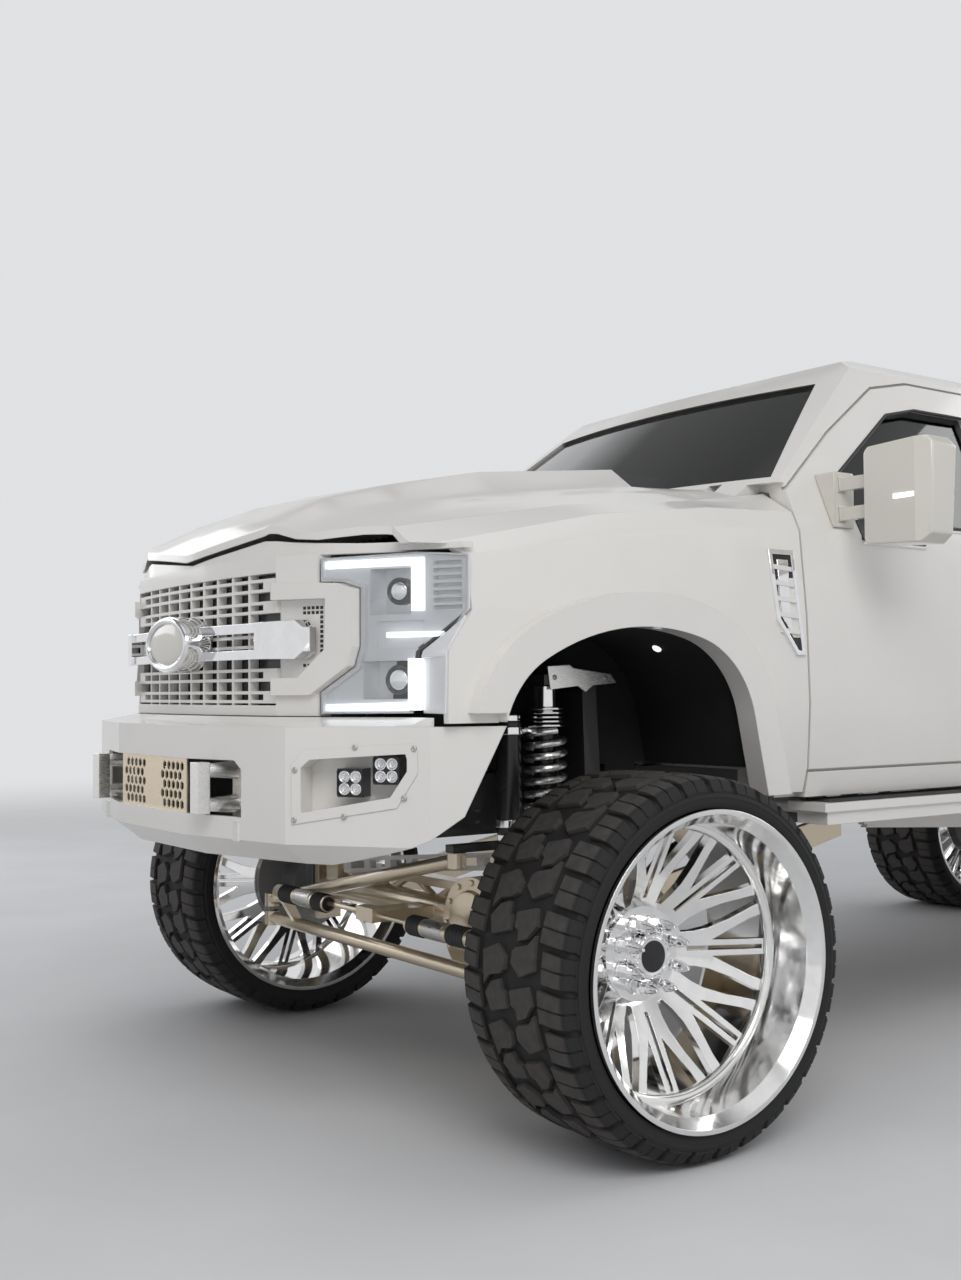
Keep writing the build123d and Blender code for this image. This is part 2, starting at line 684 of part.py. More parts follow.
def ring_plan(points, wall):
    outer = points + [(-x, y) for x, y in reversed(points) if x > 0]
    inner = [(x * (1 - wall / 1010), y + wall) for x, y in outer]
    return outer, inner


def band(outer_points, z):
    outer, inner = ring_plan(outer_points, BUMPER_WALL)
    points = outer_half(outer, inner)
    return (Plane.XY.offset(z) * Polygon(*points, align=None)).face()


def outer_half(outer, inner):
    n = len(BUMPER_FACE)
    order = [outer[i] for i in range(n)]
    order_in = [inner[i] for i in range(n)]
    left = [(-x, y) for x, y in reversed(order[1:])]
    left_in = [(-x, y) for x, y in reversed(order_in[1:])]
    return left + order + order_in[::-1] + left_in[::-1]


WING_BEZEL = [(18, 854), (18, 1006), (56, 1042), (340, 1058), (354, 1040), (354, 985), (299, 900)]
WING_POCKET = [(44, 884), (44, 996), (68, 1016), (322, 1032), (326, 1020), (326, 990), (282, 926)]
WING_DEEP = 66
POD_SIZE = 70
PODS = [(134, 924), (230, 956)]
HEX_ROWS = 5
HEX_COLUMNS = 15
HEX_PITCH = 30
HEX_R = 13
PLATE_BLANK = 62


def wing_prism(points, near, far):
    """Prism behind the bumper's left wing, from (run along the wing, z) points, between two depths."""
    (x0, y0), (x1, y1) = BUMPER_FACE[2], BUMPER_FACE[3]
    along = Vector(x1 - x0, y1 - y0, 0).normalized()
    inward = Vector(-along.Y, along.X, 0)
    place = Plane(origin=Vector(x0, y0, 0) + inward * near, x_dir=along, z_dir=Vector(along.Y, -along.X, 0))
    outline = Polygon(*points, align=None)
    return extrude(place * outline, amount=far - near, dir=inward)


def make_bumper():
    upper = loft([band(BUMPER_FACE, BUMPER_LOW), band(BUMPER_FACE, BUMPER_TOP)], ruled=True)
    lower = loft([band(BUMPER_UNDER, BUMPER_BASE), band(BUMPER_FACE, BUMPER_LOW)], ruled=True)
    half = BUMPER_FACE
    lid = plan(half[:4] + [(975, -545), (880, -600), (610, -770), (0, -860)] +
               [(-610, -770), (-880, -600), (-975, -545)] + [(-x, y) for x, y in reversed(half[1:4])],
               BUMPER_TOP - BUMPER_WALL, BUMPER_TOP)
    shape = upper + lower + lid
    shape = shape - side(BUMPER_SIDE_CUT, -1100, 1100)
    window = [(-475, 862), (475, 862), (475, 985), (448, 1008), (-448, 1008), (-475, 985)]
    shape = shape - front(window, -1000, -880)
    case = wing_prism(grown(WING_POCKET, 8), 4, WING_DEEP + 6)
    pocket = wing_prism(WING_POCKET, -10, WING_DEEP)
    shape = (shape + both(case)) - both(pocket)
    bezel = wing_prism(WING_BEZEL, -3, 4) - wing_prism(WING_POCKET, -10, 20)
    shape = shape + both(bezel)
    for s in (-1, 1):
        brace = block(s * RAIL_X - 40, s * RAIL_X + 40, -880, RAIL_FRONT - 0.3, 800, 850)
        wing = block(s * RAIL_X - 40, s * RAIL_X + 40, -925, -870, 800, 850)
        shape = shape + brace + wing
    keep("front_bumper", shape)
    z0 = PLATE_Z - PLATE_H / 2
    plate = block(-PLATE_HALF, PLATE_HALF, PLATE_Y, PLATE_Y + 6, z0 + 0.3, z0 + PLATE_H - 0.3)
    holes = []
    for row in range(HEX_ROWS):
        for column in range(HEX_COLUMNS):
            x = (column - (HEX_COLUMNS - 1) / 2) * HEX_PITCH + (row % 2 - 0.5) * HEX_PITCH / 2
            z = PLATE_Z + (row - (HEX_ROWS - 1) / 2) * HEX_PITCH * 0.87
            if abs(x) > PLATE_BLANK and abs(x) < PLATE_HALF - 22:
                holes.append(front([(x + HEX_R * math.sin(a * math.pi / 3),
                                     z + HEX_R * math.cos(a * math.pi / 3))
                                    for a in range(6)], PLATE_Y - 5, PLATE_Y + 15))
    keep("bumper_plate", plate - group(holes))
    pods = []
    for s0, z0 in PODS:
        square = [(s0, z0), (s0 + POD_SIZE, z0), (s0 + POD_SIZE, z0 + POD_SIZE), (s0, z0 + POD_SIZE)]
        pods.append(wing_prism(square, 18, WING_DEEP - SEAT_GAP))
    keep("lamp_pods", both(group(pods)))
    hoops = []
    for s in (-1, 1):
        x0 = s * HOOP_X - HOOP_T / 2
        bar = block(x0, x0 + HOOP_T, HOOP_FRONT, HOOP_FRONT + 34, 868, 1002)
        arms = bar
        for z in (890, 980):
            cone = Cone(HOOP_FOOT_R, HOOP_NECK_R, -870 - HOOP_FRONT)
            arms = arms + Pos(s * HOOP_X, (HOOP_FRONT - 862) / 2 + 2, z) * Rot(90, 0, 0) * cone
        foot = sorted((s * (HOOP_X - HOOP_T / 2), s * (HOOP_X + HOOP_T / 2 + 50)))
        arms = arms + block(foot[0], foot[1], -876, -850, 850 + SEAT_GAP, 1002)
        hoops.append(arms)
    keep("bumper_hoops", group(hoops))


# Load bed: double-walled sides, wheel housings, floor and front wall
BED_SIDE = [
    # x, z round the wall's section: outer skin up, rail, inner wall down and back
    (985, BED_SKIN_Z), (1004, 955), (1012, 1078), (HALF_WIDTH, 1143), (1008, 1400), (990, 1640), (972,
                                                                                                  BED_RAIL_Z),
    (880, BED_RAIL_Z), (880, 1132), (896, 1132), (896, BED_RAIL_Z - 16), (960, BED_RAIL_Z - 16), (974, 1640),
    (992, 1400), (1000, 1143), (996, 1078), (988, 955), (969, BED_SKIN_Z),
]
HOUSING = [(-452, 1120), (-420, 1250), (-300, 1372), (300, 1372), (420, 1250), (452, 1120)]
FLOOR_T = 45


def make_bed():
    rear = BED_REAR - GATE_THICK
    head = rear - BED_INSIDE
    wall = front(BED_SIDE, BED_FRONT, BED_REAR) - arch(0, 700, 930, 1100, WHEELBASE)
    housing = [(WHEELBASE + y, z) for y, z in HOUSING]
    floor = block(0, 888, BED_FRONT + 2, rear - GATE_GAP, BED_FLOOR_Z - FLOOR_T, BED_FLOOR_Z)
    floor = floor + side(housing, WELL_INNER, 890)
    hollow = side(grown(housing, -WELL_WALL), WELL_INNER + WELL_WALL, 950)
    hollow = hollow + block(WELL_INNER + WELL_WALL, 950, WHEELBASE - 436, WHEELBASE + 436, 1000, 1140)
    bulkhead = block(0, 890, BED_FRONT, head, BED_FLOOR_Z - FLOOR_T, BED_RAIL_Z - 10)
    post = block(GATE_HALF + GATE_GAP, 975, BED_REAR - 110, BED_REAR, 1060, BED_RAIL_Z - 40)
    post = post - across(GATE_PIN_R + 0.5, GATE_HALF, GATE_HALF + 42, GATE_PIVOT_Y, GATE_PIVOT_Z)
    ring = arch(FLARE_WIDTH, 905, 996, HALF_WIDTH + FLARE_OUT, WHEELBASE) - arch(0, 700, 900, 1100, WHEELBASE)
    half = join([wall, floor, bulkhead, post]) - hollow + ring
    sill_z = RAIL_Z + 100 + RAIL_H + SEAT_GAP
    for y in BED_SILLS:
        half = half + block(0, SILL_REACH, y - 35, y + 35, sill_z, BED_FLOOR_Z - 40)
    keep("cargo_bed", half + flip(half))


GATE_PIVOT_Y = BED_REAR - GATE_THICK / 2
GATE_PIVOT_Z = 1150


def make_tailgate():
    gate_front = BED_REAR - GATE_THICK
    panel = block(-GATE_HALF, GATE_HALF, gate_front, BED_REAR, BED_FLOOR_Z + 2, BED_RAIL_Z)
    ears = both(block(GATE_HALF - 40, GATE_HALF, GATE_PIVOT_Y - 16, GATE_PIVOT_Y + 16, GATE_PIVOT_Z - 16,
                      BED_FLOOR_Z + 5))
    pins = both(across(GATE_PIN_R, GATE_HALF - 5, GATE_HALF + 36, GATE_PIVOT_Y, GATE_PIVOT_Z))
    panel = panel - block(-GATE_HALF + 90, GATE_HALF - 90, BED_REAR - 12, BED_REAR + 5, BED_FLOOR_Z + 70,
                          BED_RAIL_Z - 150)
    panel = panel - block(-110, 110, BED_REAR - 30, BED_REAR + 5, BED_RAIL_Z - 120, BED_RAIL_Z - 60)
    keep("tailgate", join([panel] + list(ears.solids()) + list(pins.solids())))


def make_rear_bumper():
    face = [(0, BUMPER_REAR), (760, BUMPER_REAR), (980, BUMPER_REAR - 50), (1000, BED_REAR + 12),
            (0, BED_REAR + 12)]
    beam = plan(face[:4] + [(-1000, BED_REAR + 12), (-980, BUMPER_REAR - 50), (-760, BUMPER_REAR)], 850, 1040)
    beam = beam - plan([(-960, BED_REAR), (960, BED_REAR), (940, BUMPER_REAR - 60), (750, BUMPER_REAR - 14),
                        (-750, BUMPER_REAR - 14), (-940, BUMPER_REAR - 60)], 800, 1026)
    for s in (-1, 1):
        beam = beam + block(s * RAIL_X - 30, s * RAIL_X + 30, RAIL_REAR + 0.3, BUMPER_REAR - 10, 870, 910)
    keep("rear_bumper", beam)


def make_tail_lamps():
    lamp = front(TAIL_VIEW, BED_REAR + SEAT_GAP, BED_REAR + 16)
    for i in range(3):
        z = 1300 + i * 118
        lamp = lamp - block(GATE_HALF + GATE_GAP + 26, 962, BED_REAR + 10, BED_REAR + 20, z, z + 92)
    keep("tail_lamps", both(lamp))


TAIL_VIEW = [(858, 1276), (985, 1276), (990, 1400), (976, 1640), (960, 1664), (858, 1664)]


# Chassis
CROSS = [-560, 330, 900, 1700, 2600, 3230, 4700]


def rail_outline():
    low = [(RAIL_FRONT, RAIL_Z), (3300, RAIL_Z), (3550, RAIL_Z + 100), (RAIL_REAR, RAIL_Z + 100)]
    high = [(y, z + RAIL_H) for y, z in reversed(low)]
    return low + high


def make_frame():
    points = rail_outline()
    x0 = RAIL_X - RAIL_W / 2
    x1 = RAIL_X + RAIL_W / 2
    rail = side(points, x0, x1)
    core = outline_solid(points, -RAIL_WALL, x0 - 5, x1 - RAIL_WALL)
    rail = rail - core
    rail = rail + coil_tower()
    keep("frame", both(rail))
    members = []
    reach = x1 - RAIL_WALL - SEAT_GAP
    for y in CROSS:
        lift = 100 if y > 3500 else 0
        members.append(block(-reach, reach, y - 40, y + 40, RAIL_Z + RAIL_WALL + SEAT_GAP + lift,
                             RAIL_Z + 45 + lift))
    rx = RECEIVER_OUT / 2
    tube = block(-rx, rx, 4960, BUMPER_REAR - 20, RECEIVER_Z - rx, RECEIVER_Z + rx)
    hang = block(-x1, x1, 4980, 5060, RECEIVER_Z - rx, RECEIVER_Z + rx)
    drops = [block(s * RAIL_X - 20, s * RAIL_X + 20, 4980, 5060, RECEIVER_Z,
                   RAIL_Z + 100 - SEAT_GAP) for s in (-1, 1)]
    tube = join([tube, hang] + drops)
    tube = tube - block(-RECEIVER_IN / 2, RECEIVER_IN / 2, 5000, BUMPER_REAR, RECEIVER_Z - RECEIVER_IN / 2,
                        RECEIVER_Z + RECEIVER_IN / 2)
    tube = tube - across(HITCH_PIN_R, -100, 100, BUMPER_REAR - 80, RECEIVER_Z)
    keep("cross_members", group(members + [tube]))


COIL_X = 600
COIL_TOP = 1210
COIL_LOW = 610
COIL_TURNS = 9


def coil_tower():
    foot = block(RAIL_X + 40, COIL_X - 60, 30, 130, RAIL_Z + 60, RAIL_Z + 150)
    post = side([(90, RAIL_Z + 60), (150, RAIL_Z + 60), (130, COIL_TOP + 20), (-60, COIL_TOP + 20),
                 (-60, COIL_TOP - 10), (80, COIL_TOP - 10)], COIL_X - 70, COIL_X + 50)
    return foot + post


def make_front_axle():
    tube = across(AXLE_R, -KINGPIN_X + 70, KINGPIN_X - 70, 0, TYRE_R)
    diff = rod((DIFF_X, DIFF_FRONT, TYRE_R), (DIFF_X, 90, TYRE_R), DIFF_R)
    nose = rod((DIFF_X, 80, TYRE_R), (DIFF_X, 250, TYRE_R + 20), 66)
    shape = tube + diff + nose
    for s in (-1, 1):
        yoke = block(KINGPIN_X - 80, KINGPIN_X - 50, -45, 45, TYRE_R - 120, TYRE_R + 120)
        lugs = [block(KINGPIN_X - 60, KINGPIN_X + 22, -32, 32, TYRE_R + z, TYRE_R + z + 26) for z in (-120,
                                                                                                      94)]
        half = join([yoke] + lugs)
        half = half - rod((KINGPIN_X, 0, TYRE_R - 130), (KINGPIN_X, 0, TYRE_R + 130), PIN_R + SEAT_GAP)
        shape = shape + (half if s > 0 else flip(half))
        seat = block(COIL_X - 40, COIL_X + 40, -50, 50, TYRE_R + 30, COIL_LOW - 20)
        shape = shape + (seat if s > 0 else flip(seat))
    truss = block(-COIL_X, COIL_X, -30, 30, COIL_LOW - 50, COIL_LOW - 22)
    bay = 8
    step = 2 * (COIL_X - 40) / bay
    for i in range(bay):
        x0 = -COIL_X + 40 + i * step
        ends = ((x0, TYRE_R + 30), (x0 + step, COIL_LOW - 30)) if i % 2 == 0 else (
            (x0, COIL_LOW - 30), (x0 + step, TYRE_R + 30))
        truss = truss + rod((ends[0][0], 0, ends[0][1]), (ends[1][0], 0, ends[1][1]), 12)
    shape = shape + truss
    stab = block(-50, 50, STAB_Y + 22, -20, STAB_Z - 22, STAB_Z + 12)
    stab = stab + block(-50, 50, STAB_Y - 22, STAB_Y + 24, STAB_Z - 22, STAB_Z + 22)
    for s in (-1, 1):
        stab = stab + across(STAB_ROD_R, min(0, s * STAB_ROD_END), max(0, s * STAB_ROD_END), STAB_Y, STAB_Z)
    keep("front_axle", shape + stab)


STAB_Y = -250
STAB_Z = 492
STAB_ROD_R = 8
STAB_ROD_END = 400
STAB_R = 27
STAB_BORE = 23.5
STAB_IN = 250
STAB_OUT = 600
STAB_OFFSET = 8


def make_steering():
    arm_y = -STEER_ARM
    tie_z = TYRE_R - STEER_DROP
    rod_shape = across(LINK_R, -KINGPIN_X - 20, KINGPIN_X + 20, arm_y, tie_z)
    eye = Pos(KINGPIN_X, arm_y, tie_z) * Cylinder(28, 50)
    rod_shape = rod_shape + eye + flip(eye)
    for s in (-1, 1):
        cyl_y = STAB_Y - STAB_OFFSET
        x0, x1 = sorted((s * STAB_IN, s * STAB_OUT))
        cyl = across(STAB_R, x0, x1, cyl_y, STAB_Z)
        b0, b1 = sorted((s * (STAB_IN - 5), s * (STAB_OUT - 20)))
        cyl = cyl - across(STAB_BORE, b0, b1, cyl_y, STAB_Z)
        c0, c1 = sorted((s * (STAB_OUT - 30), s * (STAB_OUT - 5)))
        hanger = side([(arm_y - 15, tie_z), (arm_y + 15, tie_z), (cyl_y + 22, STAB_Z),
                       (cyl_y - 10, STAB_Z - 15)], c0, c1)
        rod_shape = rod_shape + cyl + (hanger - across(STAB_BORE, b0, b1, cyl_y, STAB_Z))
    keep("tie_rod", rod_shape)
    drag_low = (-KINGPIN_X, arm_y, DRAG_LOW_Z)
    drag_high = (PITMAN_X, arm_y, PITMAN_Z)
    drag = rod(drag_low, drag_high, LINK_R)
    for spot in (drag_low, drag_high):
        drag = drag + Pos(*spot) * Cylinder(28, 46)
    keep("drag_link", drag)
    arm = block(PITMAN_X - 20, PITMAN_X + 20, arm_y - 26, 26, PITMAN_Z + 23 + SEAT_GAP, PITMAN_Z + 46)
    arm = arm + rod((PITMAN_X, 0, PITMAN_Z + 40), (PITMAN_X, 0, RAIL_Z - SEAT_GAP), 20)
    keep("pitman_arm", arm)


DRAG_LOW_Z = TYRE_R - STEER_DROP + 41 + 23 + SEAT_GAP
PITMAN_X = 395
PITMAN_Z = 690


def make_knuckle(s):
    x = KINGPIN_X
    body = block(x - 24, x + 24, -40, 40, TYRE_R - 93, TYRE_R + 93)
    hub = across(92, x + 20, PAD_X - 20, 0, TYRE_R)
    disc = across(190, PAD_X - 46, PAD_X - 20, 0, TYRE_R)
    spindle = across(SPINDLE_R, PAD_X - 30, PAD_X + 25, 0, TYRE_R)
    arm = block(x - 22, x + 22, -STEER_ARM - 24, -30, TYRE_R - STEER_DROP + 25 + SEAT_GAP,
                TYRE_R - STEER_DROP + 41)
    shape = join([body, hub, disc, spindle, arm])
    pins = [rod((x, 0, TYRE_R + low), (x, 0, TYRE_R + low + 30), PIN_R) for low in (-120, 90)]
    shape = join([shape] + pins)
    shape = shape if s > 0 else flip(shape)
    keep("knuckle_left" if s > 0 else "knuckle_right", shape)


WHEELS = [
    # place, side, station, x inset
    ("front_left", 1, 0, 0),
    ("front_right", -1, 0, 0),
    ("rear_left", 1, WHEELBASE, REAR_INSET),
    ("rear_right", -1, WHEELBASE, REAR_INSET),
]


def ring_profile(points):
    """Revolve an (x, radius) outline about the wheel's axle."""
    face = make_face(Polyline(*points, close=True))
    return revolve(Plane.XZ * face, axis=Axis.X)


def make_rim():
    lip = RIM_LIP_R
    barrel = ring_profile([
        (RIM_INNER_X, lip), (RIM_INNER_X + 12, lip), (RIM_INNER_X + 30, BARREL_R), (DISH_RIM_X, DISH_RIM_R),
        (RIM_OUTER_X - 40, BARREL_R), (RIM_OUTER_X - 12, lip), (RIM_OUTER_X, lip),
        (RIM_OUTER_X, lip - 12), (RIM_OUTER_X - 34, BARREL_R - BARREL_WALL), (DISH_RIM_X,
                                                                              DISH_RIM_R - BARREL_WALL),
        (RIM_INNER_X + 34, BARREL_R - BARREL_WALL), (RIM_INNER_X, lip - 12),
    ])
    disc = ring_profile([
        (PAD_X, SPINDLE_R + SPINDLE_GAP), (PAD_X, PAD_R), (DISH_HUB_X - DISH_WALL, PAD_R + 10),
        (DISH_RIM_X - 60, 300), (DISH_RIM_X - DISH_WALL, DISH_RIM_R - 4), (DISH_RIM_X, DISH_RIM_R - 4),
        (DISH_RIM_X - 32, 300), (DISH_HUB_X, PAD_R + 10), (DISH_HUB_X, SPINDLE_R + SPINDLE_GAP),
    ])
    cuts = []
    for i in range(GROUPS):
        turn = i * 360 / GROUPS
        for shift, outline in WINDOWS:
            cuts.append(dish_window(turn + shift * 360 / GROUPS, outline))
            if shift == 0 and outline[0][1] > 15:
                cuts.append(dish_window(turn, [(r, -t) for r, t in outline]))
    disc = disc - join(cuts)
    cap = across(CAP_R, DISH_HUB_X - 5, CAP_FRONT_X, 0, 0)
    shape = barrel + disc + cap
    for i in range(NUT_COUNT):
        a = 2 * math.pi * (i + 0.5) / NUT_COUNT
        nut = across(NUT_R, DISH_HUB_X - 5, DISH_HUB_X + NUT_LENGTH, NUT_CIRCLE_R * math.cos(a),
                     NUT_CIRCLE_R * math.sin(a))
        shape = shape + nut
    return shape


WINDOWS = [
    # turn in pitches, then (radius, offset across) round the window: slot, fork, teardrop
    (0, [(150, 6), (335, 6), (335, -6), (150, -6)]),
    (0, [(212, 22), (344, 21), (344, 96), (300, 76)]),
    (0.5, [(140, 9), (172, 20), (208, 26), (262, 24), (344, 12), (344, -12), (262, -24), (208, -26),
           (172, -20),
           (140, -9)]),
]
SHOULDER_LUGS = 20
LUG_DEEP = 11
LUG_SLOT = 26
LUG_REACH = 58


def dish_window(degrees, outline):
    """Window cut through the dish along x, from its (radius, offset) outline."""
    cut = side([(t, r) for r, t in outline], PAD_X - 40, RIM_OUTER_X + 10)
    return Rot(degrees, 0, 0) * cut


def make_tyre():
    lip = RIM_LIP_R + SEAT_GAP
    x0 = TYRE_INNER_X
    x1 = TYRE_OUTER_X - 2
    tyre = ring_profile([
        (RIM_INNER_X + 5, lip), (x0 + 6, lip + 14), (x0, lip + 34), (x0 + 6, lip + 60), (x0 + 34, TYRE_R - 6),
        (x0 + 60, TYRE_R), (x1 - 60, TYRE_R), (x1 - 34, TYRE_R - 6), (x1 - 6, lip + 60), (x1, lip + 34),
        (x1 - 6, lip + 14), (RIM_OUTER_X - 5, lip),
    ])
    slots = []
    for i in range(SHOULDER_LUGS):
        for start, phase in ((x0 - 5, 0), (x1 + 5 - LUG_REACH, 0.5)):
            slot = block(start, start + LUG_REACH, -LUG_SLOT / 2, LUG_SLOT / 2, TYRE_R - LUG_DEEP, TYRE_R + 5)
            slots.append(Rot((i + phase) * 360 / SHOULDER_LUGS, 0, 0) * slot)
    return tyre - group(slots)


def make_wheels():
    rim = make_rim()
    tyre = make_tyre()
    for place, s, station, inset in WHEELS:
        for name, shape in (("rim", rim), ("tyre", tyre)):
            moved = Pos(-inset, station, TYRE_R) * shape
            keep("%s_%s" % (name, place), moved if s > 0 else flip(moved))


def make_links():
    shapes = []
    for s in (-1, 1):
        arm = side([(AXLE_R + SEAT_GAP, TYRE_R - 50), (AXLE_R + SEAT_GAP, TYRE_R + 42), (1250, RAIL_Z - 20),
                    (1300, RAIL_Z - 20), (1300, RAIL_Z - 90), (80, TYRE_R - 70)], 534, 558)
        arm = arm + block(RAIL_X + RAIL_W / 2 + SEAT_GAP, 558, 1230, 1300, 690, 860)
        shapes.append(arm if s > 0 else flip(arm))
    keep("radius_arms", group(shapes))
    (x0, z0), (x1, z1) = TRACK_ENDS
    run = Vector(x1 - x0, z1 - z0)
    lean = math.degrees(math.atan2(run.Y, run.X))
    place = Pos(x0, TRACK_Y, z0) * Rot(0, -lean, 0)
    bar = place * block(-20, run.length + 20, -12, 12, -26, 26)
    step = run.length / TRACK_SLOTS
    for i in range(TRACK_SLOTS):
        mid = (i + 0.5) * step
        bar = bar - place * block(mid - step * 0.36, mid + step * 0.36, -20, 20, -12, 12)
    bar = bar + block(RAIL_X + RAIL_W / 2 + SEAT_GAP, 530, TRACK_Y - 12, TRACK_Y + 12, z0 - 20, RAIL_Z + 60)
    bar = bar + block(x1 - 25, x1 + 25, TRACK_Y - 12, -30 - SEAT_GAP, 562, z1 + 20)
    keep("track_bar", bar)


TRACK_ENDS = [(500, 690), (-425, 590)]
TRACK_Y = -75
TRACK_SLOTS = 7


def make_coilovers():
    shapes = []
    for s in (-1, 1):
        body = rod((COIL_X, -20, COIL_LOW - 20 + SEAT_GAP), (COIL_X, -20, COIL_TOP - 10 - SEAT_GAP), 34)
        turns = []
        pitch = (COIL_TOP - COIL_LOW - 200) / COIL_TURNS
        for i in range(COIL_TURNS):
            z = COIL_LOW + 70 + i * pitch
            turns = turns + [(34, z), (56, z + pitch * 0.18), (56, z + pitch * 0.42), (34, z + pitch * 0.6)]
        turns = turns + [(34, COIL_TOP - 130), (20, COIL_TOP - 130), (20, COIL_LOW + 70)]
        spring = revolve(Plane.XZ * make_face(Polyline(*turns, close=True)), axis=Axis.Z)
        spring = Pos(COIL_X, -20, 0) * spring
        for z in (COIL_LOW + 58, COIL_TOP - 132):
            spring = spring + rod((COIL_X, -20, z), (COIL_X, -20, z + 16), 60)
        tank = rod((COIL_X, -150, 760), (COIL_X, -150, 1120), 36)
        for z in (800, 1060):
            tank = tank + rod((COIL_X, -150, z), (COIL_X, -150, z + 24), 40)
        tie = block(COIL_X - 14, COIL_X + 14, -150, -40, 1064, 1080)
        unit = body + spring + tank + tie
        shapes.append(unit if s > 0 else flip(unit))
    keep("coilovers", group(shapes))


def make_rear_axle():
    tube = across(52, -PAD_X + REAR_INSET + 60, PAD_X - REAR_INSET - 60, WHEELBASE, TYRE_R)
    diff = Pos(0, WHEELBASE, TYRE_R) * Sphere(175)
    nose = rod((0, WHEELBASE, TYRE_R), (0, WHEELBASE - 280, TYRE_R + 40), 66)
    shape = tube + diff + nose
    for s in (-1, 1):
        drum = across(190, PAD_X - REAR_INSET - 66, PAD_X - REAR_INSET - 20, WHEELBASE, TYRE_R)
        spindle = across(SPINDLE_R, PAD_X - REAR_INSET - 30, PAD_X - REAR_INSET + 25, WHEELBASE, TYRE_R)
        half = drum + spindle
        shape = shape + (half if s > 0 else flip(half))
    keep("rear_axle", shape)


LEAF_X = 520


def make_leaves():
    shapes = []
    for s in (-1, 1):
        pack = side([(WHEELBASE - 720, 800), (WHEELBASE - 100, 700), (WHEELBASE + 100, 700),
                     (WHEELBASE + 760, 830),
                     (WHEELBASE + 760, 845), (WHEELBASE + 100, 760), (WHEELBASE - 100, 760),
                     (WHEELBASE - 720, 818)], LEAF_X - 35, LEAF_X + 35)
        perch = block(LEAF_X - 45, LEAF_X + 45, WHEELBASE - 70, WHEELBASE + 70, TYRE_R + 52.3, 700)
        front_eye = block(RAIL_X + 45.3, LEAF_X + 35, WHEELBASE - 740, WHEELBASE - 690, 790, 880)
        rear_eye = block(RAIL_X + 45.3, LEAF_X + 35, WHEELBASE + 730, WHEELBASE + 775, 825, 940)
        unit = pack + perch + front_eye + rear_eye
        shapes.append(unit if s > 0 else flip(unit))
    keep("leaf_springs", group(shapes))
    bars = []
    for s in (-1, 1):
        bar = side([(1500, 690), (1560, 760), (3700, 640), (WHEELBASE - 70.3, 600), (WHEELBASE - 70.3, 545),
                    (3700, 560)], RAIL_X + RAIL_W / 2 + SEAT_GAP, RAIL_X + 71)
        bar = bar + block(RAIL_X + RAIL_W / 2 + SEAT_GAP, RAIL_X + 71, 1490, 1570, 700, 860)
        bars.append(bar if s > 0 else flip(bar))
    keep("traction_bars", group(bars))


BOARD_FRONT = 655
BOARD_REAR = 2760


def make_boards():
    step = block(905, 1050, BOARD_FRONT, BOARD_REAR, 826, 852)
    lower = block(925, 1040, BOARD_FRONT + 20, BOARD_REAR - 20, 788, 826)
    arms = [block(RAIL_X + 45.3, 930, y - 30, y + 30, 795, 820) for y in (900, 1700, 2500)]
    keep("running_boards", both(join([step, lower] + arms)))


PIPE_R = 40
JOINT_R = 42
PIPE_X = 270
SEATS = [
    # x, y of the cushion's middle, half width
    (430, 1430, 260),
    (-430, 1430, 260),
    (0, 2380, 700),
]
WHEEL_SPOT = (430, 1120, 1600)
WHEEL_TILT = 65
WHEEL_R = 190


